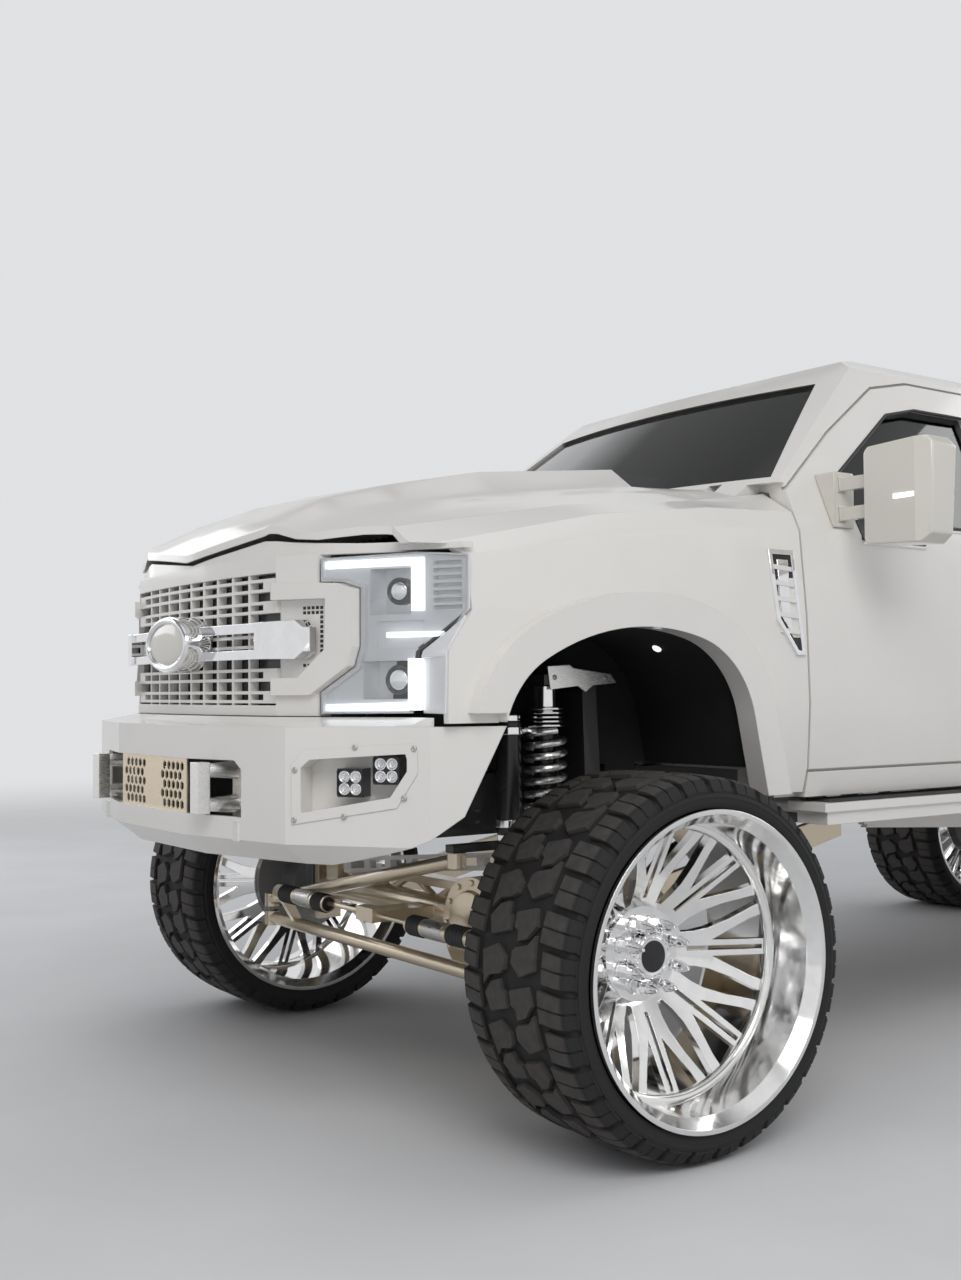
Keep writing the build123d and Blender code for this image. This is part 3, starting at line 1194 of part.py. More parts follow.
def make_inside():
    engine = block(-300, 300, -430, 480, RAIL_Z + RAIL_H - 60, 1620)
    inner = RAIL_X - RAIL_W / 2 - SEAT_GAP
    keep("engine", engine + block(-inner, inner, -60, 60, RAIL_Z + 100, RAIL_Z + 160))
    top = TUNNEL_Z - PANEL - 25
    gear = block(-175, 175, 480.3, 1480, RAIL_Z + 45 + SEAT_GAP, top)
    gear = gear + block(-90, 215, 1240, 1480, 690, 860)
    front_end = Vector(DIFF_X, 250, TYRE_R + 20) + Vector(0, 0.9932, 0.1168) * (JOINT_R + SEAT_GAP)
    rear_end = Vector(0, WHEELBASE - 280, TYRE_R + 40) + Vector(0, -0.99, 0.1414) * (JOINT_R + SEAT_GAP)
    for end, start, radius in ((front_end, (150, 1250, 740), 30), (rear_end, (0, 1470, 735), 40)):
        gear = gear + Pos(*end) * Sphere(JOINT_R) + rod(start, tuple(end), radius)
    keep("driveline", gear)
    keep("radiator", block(SEAT_GAP - LAMP_INNER, LAMP_INNER - SEAT_GAP, SUPPORT_Y, SUPPORT_Y + SUPPORT_T,
                           RAIL_Z + RAIL_H + SEAT_GAP, 1480))
    keep("fuel_tank", block(90, RAIL_X - RAIL_W / 2 - SEAT_GAP, 1760, 2540, RAIL_Z - 90, RAIL_Z + 100))
    pipe_z = RAIL_Z + 45 + SEAT_GAP + PIPE_R
    pipe = rod((-PIPE_X, 1495, pipe_z), (-PIPE_X, 3420, pipe_z), PIPE_R)
    keep("exhaust", pipe + rod((-PIPE_X, 1800, pipe_z + 5), (-PIPE_X, 2480, pipe_z + 5), 82))
    dash = side([(620 + SEAT_GAP, 1300), (620 + SEAT_GAP, 1700), (760, 1690), (960, 1580), (950, 1380),
                 (880, 1300)], -850, 850)
    column = Pos(*WHEEL_SPOT) * Rot(-WHEEL_TILT, 0, 0) * Pos(0, 0, -125.3) * Cylinder(38, 220)
    keep("dashboard", dash + column)
    seats = []
    for x, y, half in SEATS:
        foot = block(x - half + 60, x + half - 60, y - 200, y + 200, FLOOR_Z + SEAT_GAP, FLOOR_Z + 200)
        base = block(x - half, x + half, y - 270, y + 270, FLOOR_Z + 200, FLOOR_Z + 400)
        back = side([(y + 180, FLOOR_Z + 380), (y + 300, FLOOR_Z + 380), (y + 400, 2040), (y + 300, 2040)],
                    x - half + 5, x + half - 5)
        seats.append(join([foot, base, back]))
    keep("seats", group(seats))
    tilt = Rot(-WHEEL_TILT, 0, 0)
    place = Pos(*WHEEL_SPOT)
    ring = Torus(WHEEL_R, 15) + Cylinder(52, 30)
    for angle in (0, 180, 270):
        ring = ring + Rot(0, 0, angle) * Pos(WHEEL_R / 2, 0, 0) * Box(WHEEL_R, 34, 12)
    keep("steering_wheel", place * tilt * ring)


MIRROR_VIEW = [(1085, 1646), (1112, 1606), (1300, 1596), (1330, 1622), (1345, 1872), (1320, 1900),
               (1120, 1894),
               (1090, 1866)]
MIRROR_PLAN = [(1082, 812), (1104, 782), (1290, 772), (1338, 796), (1345, 892), (1085, 892)]


def make_mirrors():
    outline = grown([(x, z) for x, z in section_points(0, 1)], SEAT_GAP)
    arms = join([block(800, 1085, 812, 838, z, z + 40) for z in (1690, 1780)])
    sail = block(800, 985, 790, 880, 1670, 1840)
    base = (arms + sail) - front(outline, 700, 1000)
    head = front(MIRROR_VIEW, 760, 900) & plan(MIRROR_PLAN, 1580, 1920)
    head = head - front(grown(MIRROR_VIEW, -14), 884, 900)
    mirror_left = base + head
    keep("mirror_left", mirror_left)
    keep("mirror_right", flip(mirror_left))


def build():
    make_cab()
    make_fenders()
    make_liners()
    make_hood()
    make_grille()
    make_grille_trim()
    make_headlamps()
    make_bumper()
    make_bed()
    make_tailgate()
    make_rear_bumper()
    make_tail_lamps()
    make_frame()
    make_front_axle()
    make_steering()
    make_knuckle(1)
    make_knuckle(-1)
    make_wheels()
    make_links()
    make_coilovers()
    make_rear_axle()
    make_leaves()
    make_boards()
    make_inside()
    make_mirrors()
    os.makedirs("parts", exist_ok=True)
    for name, shape in PARTS.items():
        moved = [Pos(0, SHIFT_Y, 0) * solid for solid in shape.solids()]
        export_step(moved[0] if len(moved) == 1 else Compound(moved), "parts/%s.step" % name)


build()
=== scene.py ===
import json
import math
import bmesh
import bpy
from mathutils import Matrix, Vector


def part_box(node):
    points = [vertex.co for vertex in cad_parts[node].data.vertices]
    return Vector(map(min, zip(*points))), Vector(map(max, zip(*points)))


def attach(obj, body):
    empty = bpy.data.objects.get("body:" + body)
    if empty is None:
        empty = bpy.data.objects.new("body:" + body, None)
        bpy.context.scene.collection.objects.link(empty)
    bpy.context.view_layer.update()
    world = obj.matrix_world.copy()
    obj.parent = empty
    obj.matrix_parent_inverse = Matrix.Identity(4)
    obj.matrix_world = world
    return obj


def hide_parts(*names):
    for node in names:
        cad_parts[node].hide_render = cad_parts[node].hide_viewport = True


# Looks of the lifted pickup truck. Metres; x to the truck's left, y rearward, z up from the ground.
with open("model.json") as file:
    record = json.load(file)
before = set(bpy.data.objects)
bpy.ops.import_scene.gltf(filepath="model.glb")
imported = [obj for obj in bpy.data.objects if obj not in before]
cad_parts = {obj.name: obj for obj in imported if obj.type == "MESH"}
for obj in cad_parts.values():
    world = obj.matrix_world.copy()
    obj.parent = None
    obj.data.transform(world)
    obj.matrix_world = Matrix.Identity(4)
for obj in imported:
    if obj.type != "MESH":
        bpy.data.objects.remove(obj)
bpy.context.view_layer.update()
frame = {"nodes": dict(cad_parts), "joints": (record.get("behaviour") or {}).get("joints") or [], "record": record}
NODES = frame["nodes"]
JOINTS = {joint["name"]: joint for joint in frame["joints"]}
WHEELS = ("front_left", "front_right", "rear_left", "rear_right")
SIDES = ((1, "left"), (-1, "right"))
HUB = {wheel: Vector(JOINTS["wheel_%s_roll" % wheel]["pos_m"]) for wheel in WHEELS}
AXLE_Y = HUB["front_left"].y
TYRE_R = HUB["front_left"].z
FULL_TURN = 2 * math.pi


# places and outlines

def at(x, y, z):
    """A point from its distance to the left, behind the front axle and above the ground."""
    return Vector((x, AXLE_Y + y, z))


def stand(x, y, z=0.0):
    """Upright place at such a point."""
    return Matrix.Translation(at(x, y, z))


def facing(point, direction):
    """Place with z along direction at a point."""
    turn = Vector(direction).to_track_quat("Z", "Y").to_matrix().to_4x4()
    return Matrix.Translation(point) @ turn


def beside(place, x, y, z=0.0):
    return place @ Matrix.Translation((x, y, z))


def spread(low, high, steps):
    """Even values from low to high."""
    return [low + (high - low) * i / steps for i in range(steps + 1)]


def along(table, x):
    """Value at x from (x, value) rows."""
    x = abs(x)
    for (x0, v0), (x1, v1) in zip(table, table[1:]):
        if x <= x1:
            return v0 + (v1 - v0) * (x - x0) / (x1 - x0)
    return table[-1][1]


def polar(radius, angle):
    return radius * math.cos(angle), radius * math.sin(angle)


def circle(radius, count):
    return [polar(radius, FULL_TURN * i / count) for i in range(count)]


def rect(x0, y0, x1, y1):
    return [(x0, y0), (x1, y0), (x1, y1), (x0, y1)]


# materials

EDGE_ROUND = 0.003
PAINT_GRAIN, FLAKE_GRAIN = 3, 900
SKIN_CELLS = 380


def put(tree, node, values):
    """Set inputs of a node, each to a value or to another node's output."""
    for socket, value in values.items():
        if isinstance(value, bpy.types.NodeSocket):
            tree.links.new(value, node.inputs[socket])
        else:
            node.inputs[socket].default_value = value


def add_node(tree, kind, values, **settings):
    made = tree.nodes.new(kind)
    for name, setting in settings.items():
        setattr(made, name, setting)
    put(tree, made, values)
    return made


def object_place(tree):
    return add_node(tree, "ShaderNodeTexCoord", {}).outputs["Object"]


def new_material(name, base, metallic=0.0, roughness=0.5):
    """A material with its nodes and links, and its shader."""
    made = bpy.data.materials.new(name)
    made.use_nodes = True
    tree = made.node_tree
    shader = tree.nodes["Principled BSDF"]
    put(tree, shader, {"Base Color": (*base, 1), "Metallic": metallic, "Roughness": roughness})
    return made, tree, shader


def noise(tree, scale, detail=4.0, stretch=(1, 1, 1)):
    """Noise in the object's own coordinates."""
    place = add_node(tree, "ShaderNodeMapping", {"Scale": stretch, "Vector": object_place(tree)})
    return add_node(tree, "ShaderNodeTexNoise", {"Scale": scale, "Detail": detail,
                                                 "Vector": place.outputs["Vector"]}).outputs["Fac"]


def ramp(tree, factor, stops):
    """Colour ramp from (position, colour) stops."""
    made = add_node(tree, "ShaderNodeValToRGB", {"Fac": factor})
    elements = made.color_ramp.elements
    while len(elements) < len(stops):
        elements.new(0.5)
    for element, (position, colour) in zip(elements, stops):
        element.position = position
        element.color = (*colour, 1)
    return made.outputs["Color"]


def scaled(colour, share):
    return tuple(min(1, c * share) for c in colour)


def bump(tree, shader, height, strength, distance):
    """Fine relief over edges that look slightly rounded."""
    rounded = add_node(tree, "ShaderNodeBevel", {"Radius": EDGE_ROUND}, samples=4)
    relief = add_node(tree, "ShaderNodeBump", {"Strength": strength, "Distance": distance, "Height": height,
                                               "Normal": rounded.outputs["Normal"]})
    put(tree, shader, {"Normal": relief.outputs["Normal"]})


def vary(tree, shader, base, spread_share, scale, roughness=None, stretch=(1, 1, 1)):
    """Colour, and roughness if given as (low, high), that drift a little over the surface."""
    factor = noise(tree, scale, stretch=stretch)
    dark, light = scaled(base, 1 - spread_share), scaled(base, 1 + spread_share)
    put(tree, shader, {"Base Color": ramp(tree, factor, [(0.3, dark), (0.7, light)])})
    if roughness:
        low, high = roughness
        put(tree, shader, {"Roughness": ramp(tree, factor, [(0.3, (low,) * 3), (0.7, (high,) * 3)])})
    return factor


def paint(name, base, roughness=0.3, coat=1.0, flake=0.0, metallic=0.0):
    made, tree, shader = new_material(name, base, metallic, roughness)
    grain = FLAKE_GRAIN if flake else PAINT_GRAIN
    vary(tree, shader, base, 0.02 + flake, grain, (roughness, roughness + 0.06))
    put(tree, shader, {"Coat Weight": coat, "Coat Roughness": 0.07})
    bump(tree, shader, noise(tree, 420, 1), 0.04, 0.0004)
    return made


def metal(name, base, roughness, grain=1.0, stretch=(1, 1, 1), scale=30, depth=0.0002):
    made, tree, shader = new_material(name, base, 1.0, roughness)
    factor = vary(tree, shader, base, 0.04, scale, (roughness * 0.7, roughness * 1.4), stretch)
    bump(tree, shader, factor, 0.08 * grain, depth)
    return made


def plastic(name, base, roughness, grain_scale=600, grain=0.25, spread_share=0.08):
    made, tree, shader = new_material(name, base, 0.0, roughness)
    vary(tree, shader, base, spread_share, 12, (roughness - 0.05, roughness + 0.08))
    bump(tree, shader, noise(tree, grain_scale, 2), grain, 0.0006)
    return made


def glass(name, tint, roughness=0.02):
    made, tree, shader = new_material(name, tint, 0.0, roughness)
    vary(tree, shader, tint, 0.03, 2)
    put(tree, shader, {"Transmission Weight": 1.0, "IOR": 1.45, "Coat Weight": 0.5, "Coat Roughness": 0.02})
    return made


def glow(name, base, strength):
    made, tree, shader = new_material(name, base, 0.0, 0.3)
    vary(tree, shader, base, 0.02, 20)
    put(tree, shader, {"Emission Color": (*base, 1), "Emission Strength": strength})
    return made


def leather(name, base):
    made, tree, shader = new_material(name, base, 0.0, 0.5)
    vary(tree, shader, base, 0.15, 25, (0.42, 0.6))
    cells = add_node(tree, "ShaderNodeTexVoronoi", {"Scale": SKIN_CELLS, "Vector": object_place(tree)})
    bump(tree, shader, cells.outputs["Distance"], 0.3, 0.001)
    return made


def rubber(name, wall, tread, hub, tread_radius):
    """Tyre rubber: dusty brown-grey on the running surface, black on the sidewall."""
    made, tree, shader = new_material(name, wall, 0.0, 0.75)
    offset = add_node(tree, "ShaderNodeMapping", {"Location": (0, -hub.y, -hub.z),
                                                  "Vector": object_place(tree)})
    flat = add_node(tree, "ShaderNodeVectorMath", {0: offset.outputs["Vector"], 1: (0, 1, 1)},
                    operation="MULTIPLY")
    reach = add_node(tree, "ShaderNodeVectorMath", {0: flat.outputs["Vector"]}, operation="LENGTH")
    worn = add_node(tree, "ShaderNodeMapRange", {"From Min": tread_radius - 0.003, "From Max": tread_radius,
                                                 "Value": reach.outputs["Value"]})
    dust = ramp(tree, noise(tree, 40, 8), [(0.3, scaled(tread, 0.8)), (0.7, scaled(tread, 1.2))])
    mix = add_node(tree, "ShaderNodeMix", {}, data_type="RGBA")
    put(tree, mix, {"A": (*wall, 1), "B": dust, "Factor": worn.outputs["Result"]})
    put(tree, shader, {"Base Color": mix.outputs["Result"]})
    bump(tree, shader, noise(tree, 260, 6), 0.35, 0.0015)
    return made


LONG_GRAIN = {"stretch": (1, 1, 30), "scale": 60, "depth": 0.00004}
MATERIALS = {
    "champagne_metal": metal("champagne_metal", (0.80, 0.69, 0.53), 0.30, 0.4, **LONG_GRAIN),
    "brushed_alloy": metal("brushed_alloy", (0.86, 0.85, 0.83), 0.28, 0.4, **LONG_GRAIN),
    "body_white": paint("white_paint", (0.83, 0.805, 0.765), coat=0.6),
    "black_trim": plastic("black_textured", (0.03, 0.03, 0.032), 0.55),
    "dark_plastic": plastic("black_gloss", (0.018, 0.018, 0.02), 0.22, grain=0.05),
    "chrome_trim": metal("chrome", (0.88, 0.88, 0.89), 0.05, 0.3),
    "polished_alloy": metal("polished_alloy", (0.90, 0.895, 0.885), 0.09, 0.5),
    "tinted_glass": glass("tinted_glass", (0.10, 0.115, 0.12)),
    "clear_lamp": glass("clear_lens", (0.95, 0.96, 0.97)),
    "red_lamp": glass("red_lens", (0.45, 0.015, 0.015), 0.08),
    "gold_paint": paint("champagne_paint", (0.74, 0.63, 0.47), 0.26, 0.6, 0.05, 0.75),
    "black_metal": paint("black_chassis", (0.022, 0.022, 0.024), 0.42, 0.3),
    "cast_grey": metal("cast_metal", (0.36, 0.36, 0.37), 0.5, 4, scale=120, depth=0.001),
    "bare_steel": metal("bare_steel", (0.55, 0.54, 0.52), 0.3, 2, (1, 12, 1)),
    "liner_felt": plastic("wheel_well_felt", (0.012, 0.012, 0.013), 0.9, 900, 0.6, 0.3),
    "cabin_trim": plastic("cabin_plastic", (0.05, 0.046, 0.043), 0.6, 700, 0.5),
    "seat_cover": leather("seat_leather", (0.055, 0.048, 0.043)),
    "mirror_case": paint("mirror_cream", (0.72, 0.69, 0.62), 0.28),
    "lamp_housing": paint("lamp_frosted", (0.80, 0.81, 0.82), 0.25, 0.8),
    "lamp_light": glow("lamp_light", (0.93, 0.96, 1.0), 1.1),
}
REPAINT = {"bumper_plate": "champagne_metal", "radiator": "black_metal", "bumper_hoops": "brushed_alloy"}
TREAD_DEPTH = 0.015
WALL_BLACK, TREAD_DUST = (0.012, 0.012, 0.012), (0.052, 0.047, 0.043)
slot_of = {part["node"]: part["material_slot"] for part in frame["record"]["subparts"]}
for node_name, node in NODES.items():
    look = MATERIALS.get(REPAINT.get(node_name, slot_of.get(node_name)))
    if look:
        node.data.materials.clear()
        node.data.materials.append(look)
for wheel in WHEELS:
    MATERIALS["tyre_" + wheel] = rubber("rubber_" + wheel, WALL_BLACK, TREAD_DUST, HUB[wheel],
                                        TYRE_R - TREAD_DEPTH * 0.6)


# mesh building

def bands(rows, count, ring=False, closed=True):
    """Quads between rows of count points; a ring joins its last row to the first, a closed row its ends."""
    return [[a * count + k, a * count + (k + 1) % count, (a + 1) % rows * count + (k + 1) % count,
             (a + 1) % rows * count + k]
            for a in range(rows if ring else rows - 1) for k in range(count if closed else count - 1)]


class Shape:
    """Gathers faces, and becomes one piece of the truck."""

    def __init__(self):
        self.verts = []
        self.faces = []

    def add(self, rows, faces, place=Matrix()):
        """Rows of points, and faces that count from the first of them."""
        start = len(self.verts)
        self.verts += [place @ Vector(v) for row in rows for v in row]
        self.faces += [[start + i for i in face] for face in faces]
        return self

    def ring(self, rows, place=Matrix()):
        """Closed outlines joined one to the next, and the last to the first."""
        return self.add(rows, bands(len(rows), len(rows[0]), True), place)

    def run(self, rows, place=Matrix()):
        """Closed outlines joined one to the next, with both ends covered."""
        n = len(rows[0])
        last = (len(rows) - 1) * n
        ends = [list(range(n))[::-1], list(range(last, last + n))]
        return self.add(rows, ends + bands(len(rows), n), place)

    def prism(self, outline, low, high, place=Matrix()):
        """Outline in (x, y), carried from z = low to z = high."""
        return self.run([[(x, y, z) for x, y in outline] for z in (low, high)], place)

    def block(self, xs, ys, zs):
        """Box between two values of x, of y behind the front axle, and of z."""
        return self.prism(rect(min(xs), AXLE_Y + ys[0], max(xs), AXLE_Y + ys[1]), *zs)

    def lathe(self, profile, place=Matrix(), count=32, closed=False):
        """Profile of (radius, z) points turned about z; an open one has its ends covered."""
        n = len(profile)
        rows = [[(*polar(r, FULL_TURN * i / count), z) for r, z in profile] for i in range(count)]
        faces = bands(count, n, True, closed)
        if not closed:
            faces += [[i * n + k for i in range(count)] for k in (0, n - 1)]
        return self.add(rows, faces, place)

    def tube(self, path, radius, count=10, closed=False):
        """Round bar along a path of points."""
        path = [Vector(p) for p in path]
        n = len(path)
        side = None
        rows = []
        for i, point in enumerate(path):
            after = path[(i + 1) % n] if closed or i < n - 1 else point
            before = path[i - 1] if closed or i > 0 else point
            ahead = (after - before).normalized()
            if side is None:
                side = ahead.orthogonal().normalized()
            side = (side - ahead * side.dot(ahead)).normalized()
            up = ahead.cross(side)
            rows.append([point + side * x + up * y for x, y in circle(radius, count)])
        return self.ring(rows) if closed else self.run(rows)

    def piece(self, name, body, slot, material=None, bevel=0.0, smooth=30):
        """Piece on a body, shaded smooth across edges flatter than smooth degrees."""
        mesh = bpy.data.meshes.new(name)
        mesh.from_pydata([tuple(v) for v in self.verts], [], self.faces)
        mesh.validate()
        solid = bmesh.new()
        solid.from_mesh(mesh)
        bmesh.ops.recalc_face_normals(solid, faces=solid.faces)
        solid.to_mesh(mesh)
        solid.free()
        made = bpy.data.objects.new(name, mesh)
        bpy.context.scene.collection.objects.link(made)
        mesh.materials.append(material or MATERIALS[slot])
        if bevel:
            edge = made.modifiers.new("edge", "BEVEL")
            edge.width = bevel
            edge.segments = 2
            edge.limit_method = "ANGLE"
        if smooth:
            mesh.shade_smooth()
            mesh.update()
            normals = {}
            for face in mesh.polygons:
                for key in face.edge_keys:
                    normals.setdefault(key, []).append(face.normal)
            for edge in mesh.edges:
                two = normals.get(tuple(sorted(edge.vertices)), [])
                edge.use_edge_sharp = len(two) != 2 or two[0].dot(two[1]) < math.cos(math.radians(smooth))
        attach(made, body)
        return made


# tyres: carcass, hooked centre blocks and two shoulder lugs a side in each pitch

PITCHES = 16
BEAD_R = 0.402
# half profile: how far across as a share of the half width, and radius
CROWN = [(0.0, TYRE_R), (0.55, TYRE_R - 0.001), (0.80, TYRE_R - 0.005), (0.91, TYRE_R - 0.014),
         (0.965, TYRE_R - 0.036)]
SIDEWALL = [(0.985, 0.440), (1.0, 0.430), (0.992, 0.427), (0.992, 0.418), (0.975, 0.410), (0.955, BEAD_R)]
BEAD_FLAT = 0.90
# centre blocks: across as a share of the half width, along as a share of the pitch
CENTRE_BLOCKS = [
    [(0.03, 0.12), (0.35, 0.02), (0.43, 0.26), (0.30, 0.44), (0.14, 0.50), (0.12, 0.36), (0.04, 0.32)],
    [(0.12, 0.56), (0.34, 0.50), (0.45, 0.36), (0.47, 0.82), (0.22, 0.94), (0.05, 0.78), (0.06, 0.62)],
]
BLOCK_FLARE, BLOCK_TOP = 0.012, 0.95
# shoulder lugs: start and end along the pitch, inner edge across
SHOULDER_LUGS = [(0.03, 0.45, 0.53), (0.54, 0.95, 0.60)]
LUG_SHARES = (0.72, 0.80, 0.91, 0.965, 0.985)
LUG_FOOT, LUG_LIP, LUG_SLANT, LUG_CHAMFER = 0.444, 0.447, 0.10, 0.01
SIPE, SIPE_DEPTH = 0.0025, 0.005


def tyre(wheel):
    low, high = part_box("tyre_" + wheel)
    half = (high.x - low.x) / 2
    middle = Vector(((high.x + low.x) / 2, HUB[wheel].y, HUB[wheel].z))
    pitch = FULL_TURN / PITCHES
    slit = SIPE / (TYRE_R * pitch)
    flare = 1 + BLOCK_FLARE / half

    def spot(share, turn, radius):
        return middle + Vector((share * half, *polar(radius, turn * pitch)))

    shape = Shape()
    under = [(u * half, r - TREAD_DEPTH) for u, r in CROWN] + [(u * half, r) for u, r in SIDEWALL]
    section = [(-u, r) for u, r in under[::-1]] + under[1:]
    section += [(s * BEAD_FLAT * half, BEAD_R + 0.002) for s in (1, -1)]
    shape.lathe([(r, u) for u, r in section], facing(middle, (1, 0, 0)), 128, True)
    for i in range(PITCHES):
        for s in (-1, 1):
            shift = i + (0.5 if s < 0 else 0)
            for block in CENTRE_BLOCKS:
                n = len(block)
                mid_u, mid_v = (sum(values) / n for values in zip(*block))
                foot = [spot(s * (mid_u + (u - mid_u) * flare), shift + s * v, TYRE_R - TREAD_DEPTH - 0.001)
                        for u, v in block]
                top = [spot(s * (mid_u + (u - mid_u) * BLOCK_TOP),
                            shift + s * (mid_v + (v - mid_v) * BLOCK_TOP), TYRE_R) for u, v in block]
                shape.add([foot, top], [list(range(n, 2 * n))] + bands(2, n))
            for start, end, inside in SHOULDER_LUGS:
                rows = []
                for share in (inside, *LUG_SHARES):
                    foot, lift, sipe = LUG_FOOT, LUG_LIP, LUG_LIP
                    if share <= CROWN[-1][0]:
                        lift = along(CROWN, share)
                        foot, sipe = lift - TREAD_DEPTH - 0.002, lift - SIPE_DEPTH
                    slant = (share - inside) * LUG_SLANT
                    v0, v1 = start + slant, end + slant
                    a, b = (v0 + v1) / 2 - slit, (v0 + v1) / 2 + slit
                    rows.append([spot(s * share, shift + s * v, r) for v, r in
                                 ((v0 - LUG_CHAMFER, foot), (v0 + LUG_CHAMFER, lift), (a, lift), (a, sipe),
                                  (b, sipe), (b, lift), (v1 - LUG_CHAMFER, lift), (v1 + LUG_CHAMFER, foot))])
                shape.run(rows)
    made = shape.piece("tyre_tread_" + wheel, "wheel_" + wheel, "tyre_rubber", MATERIALS["tyre_" + wheel])
    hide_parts("tyre_" + wheel)


# CAD panels: smooth across their shallow facets

SOFT_ANGLE, CRISP_ANGLE = math.radians(27), math.radians(9)
SAME_POINT = 0.00002
CRISP_NODES = ("front_bumper", "grille", "grille_trim", "bumper_hoops", "bumper_plate", "track_bar",
               "traction_bars", "rear_bumper", "frame", "cross_members", "mirror_left", "mirror_right")


def smoothing_group(angle):
    """Shading that is smooth across edges flatter than angle."""
    group = bpy.data.node_groups.new("smooth_by_angle", "GeometryNodeTree")
    for way in ("INPUT", "OUTPUT"):
        group.interface.new_socket("Geometry", in_out=way, socket_type="NodeSocketGeometry")
    start = group.nodes.new("NodeGroupInput")
    end = group.nodes.new("NodeGroupOutput")
    merge = add_node(group, "GeometryNodeMergeByDistance", {"Geometry": start.outputs[0],
                                                            "Distance": SAME_POINT})
    edges = group.nodes.new("GeometryNodeInputMeshEdgeAngle")
    sharper = add_node(group, "ShaderNodeMath", {0: edges.outputs["Unsigned Angle"], 1: angle},
                       operation="GREATER_THAN")
    normal = add_node(group, "GeometryNodeSetMeshNormal",
                      {"Mesh": merge.outputs["Geometry"], "Remove Custom": True,
                       "Edge Sharpness": sharper.outputs[0]}, mode="SHARPNESS")
    put(group, end, {0: normal.outputs["Mesh"]})
    return group


def smooth_panels():
    soft, crisp = smoothing_group(SOFT_ANGLE), smoothing_group(CRISP_ANGLE)
    for name, shown in NODES.items():
        shown.modifiers.new("smooth_by_angle", "NODES").node_group = crisp if name in CRISP_NODES else soft


# nose: header under the hood, sloped top of the bumper, mesh behind the grille

# how far behind the middle of the grille its face lies at x
NOSE_RUN = [(0.473, 0.034), (0.600, 0.093), (0.720, 0.156), (0.830, 0.225)]
GRILLE_FRONT = -0.850
HOOD_EDGE = [(0.0, -0.862), (0.407, -0.815), (0.600, -0.757), (0.800, -0.600)]
HOOD_UNDER = [(0.0, 1.5535), (0.200, 1.572), (0.407, 1.592), (0.500, 1.580), (0.600, 1.571), (0.700, 1.566),
              (0.790, 1.566)]
HEADER_HALF, HEADER_FOOT, HEADER_DEEP, HEADER_GAP = 0.790, 1.540, 0.028, 0.007
LAMP_HEADER_X, LAMP_HEADER_TOP = (0.795, 0.850, 0.905, 0.955), HEADER_FOOT + 0.016
# headlamp's face: how far out from LAMP_START, and y
LAMP_FRONT = [(0.0, -0.780), (0.080, -0.735), (0.240, -0.645), (0.450, -0.525)]
LAMP_START = 0.560
BUMPER_LINE = [(0.0, -0.971), (0.235, -0.971), (0.641, -0.873), (0.948, -0.642)]
BUMPER_HALF, BUMPER_TOP, NOSE_FOOT = 0.944, 1.098, 1.120
GRILLE_HALF, LAMP_SHELF, WING_BACK = 0.60, -0.620, -0.6235
BACKING_HALF, BACKING_Z, BACKING_DEPTHS = 0.468, (1.153, 1.497), (0.0295, 0.033)
MESH_X, MESH_Z, MESH_PITCH, MESH_HOLE = 0.541, 1.250, 0.0125, 0.0082
MESH_COLUMNS, MESH_ROWS, MESH_DEPTH, MESH_WALL = 7, 13, 0.0145, (-0.0012, 0.004)
BAR_LOW, BAR_HIGH, BAR_END = 1.262, 1.385, 0.590
FRAME_X, FRAME_SLOPE, FRAME_EDGE = 0.552, 0.93, 0.004
SMALL = 0.004


def nose_y(x, depth=0.0):
    """How far back the grille's face lies at x, plus a depth behind it."""
    edge, sag = NOSE_RUN[0]
    if abs(x) <= edge:
        return GRILLE_FRONT + sag * (x / edge) ** 2 + depth
    return GRILLE_FRONT + along(NOSE_RUN, x) + depth


def lamp_face(x, depth):
    """How far back the headlamp's face lies at x, plus a depth behind it."""
    return along(LAMP_FRONT, x - LAMP_START) + depth


def section_x(x, front, back, low, high):
    return [at(x, front, low), at(x, back, low), at(x, back, high), at(x, front, high)]


def header():
    rows = []
    for x in spread(-HEADER_HALF, HEADER_HALF, 32):
        front = max(nose_y(x), along(HOOD_EDGE, x)) + HEADER_GAP
        rows.append(section_x(x, front, front + HEADER_DEEP, HEADER_FOOT, along(HOOD_UNDER, x)))
    Shape().run(rows).piece("grille_header", "truck", "body_white", bevel=0.002)
    for s, hand in SIDES:
        rows = []
        for x in LAMP_HEADER_X:
            front = lamp_face(x, 0.012)
            rows.append(section_x(s * x, front, front + HEADER_DEEP, HEADER_FOOT, LAMP_HEADER_TOP))
        Shape().run(rows[::s]).piece("lamp_header_" + hand, "truck", "body_white", bevel=0.001)


def bumper_top():
    """Sloped panel from the bumper's front edge up to the foot of the grille and the lamps."""
    rows = []
    for x in spread(-BUMPER_HALF, BUMPER_HALF, 48):
        nose = nose_y(x) if abs(x) < GRILLE_HALF else min(lamp_face(abs(x), 0), LAMP_SHELF)
        back = min(nose - 0.008, WING_BACK)
        front = min(along(BUMPER_LINE, x), back - 0.001)
        rows.append([at(x, front, BUMPER_TOP - 0.0005), at(x, back, BUMPER_TOP - 0.0005),
                     at(x, back, NOSE_FOOT)])
    Shape().run(rows).piece("bumper_top_panel", "truck", "body_white", smooth=12)


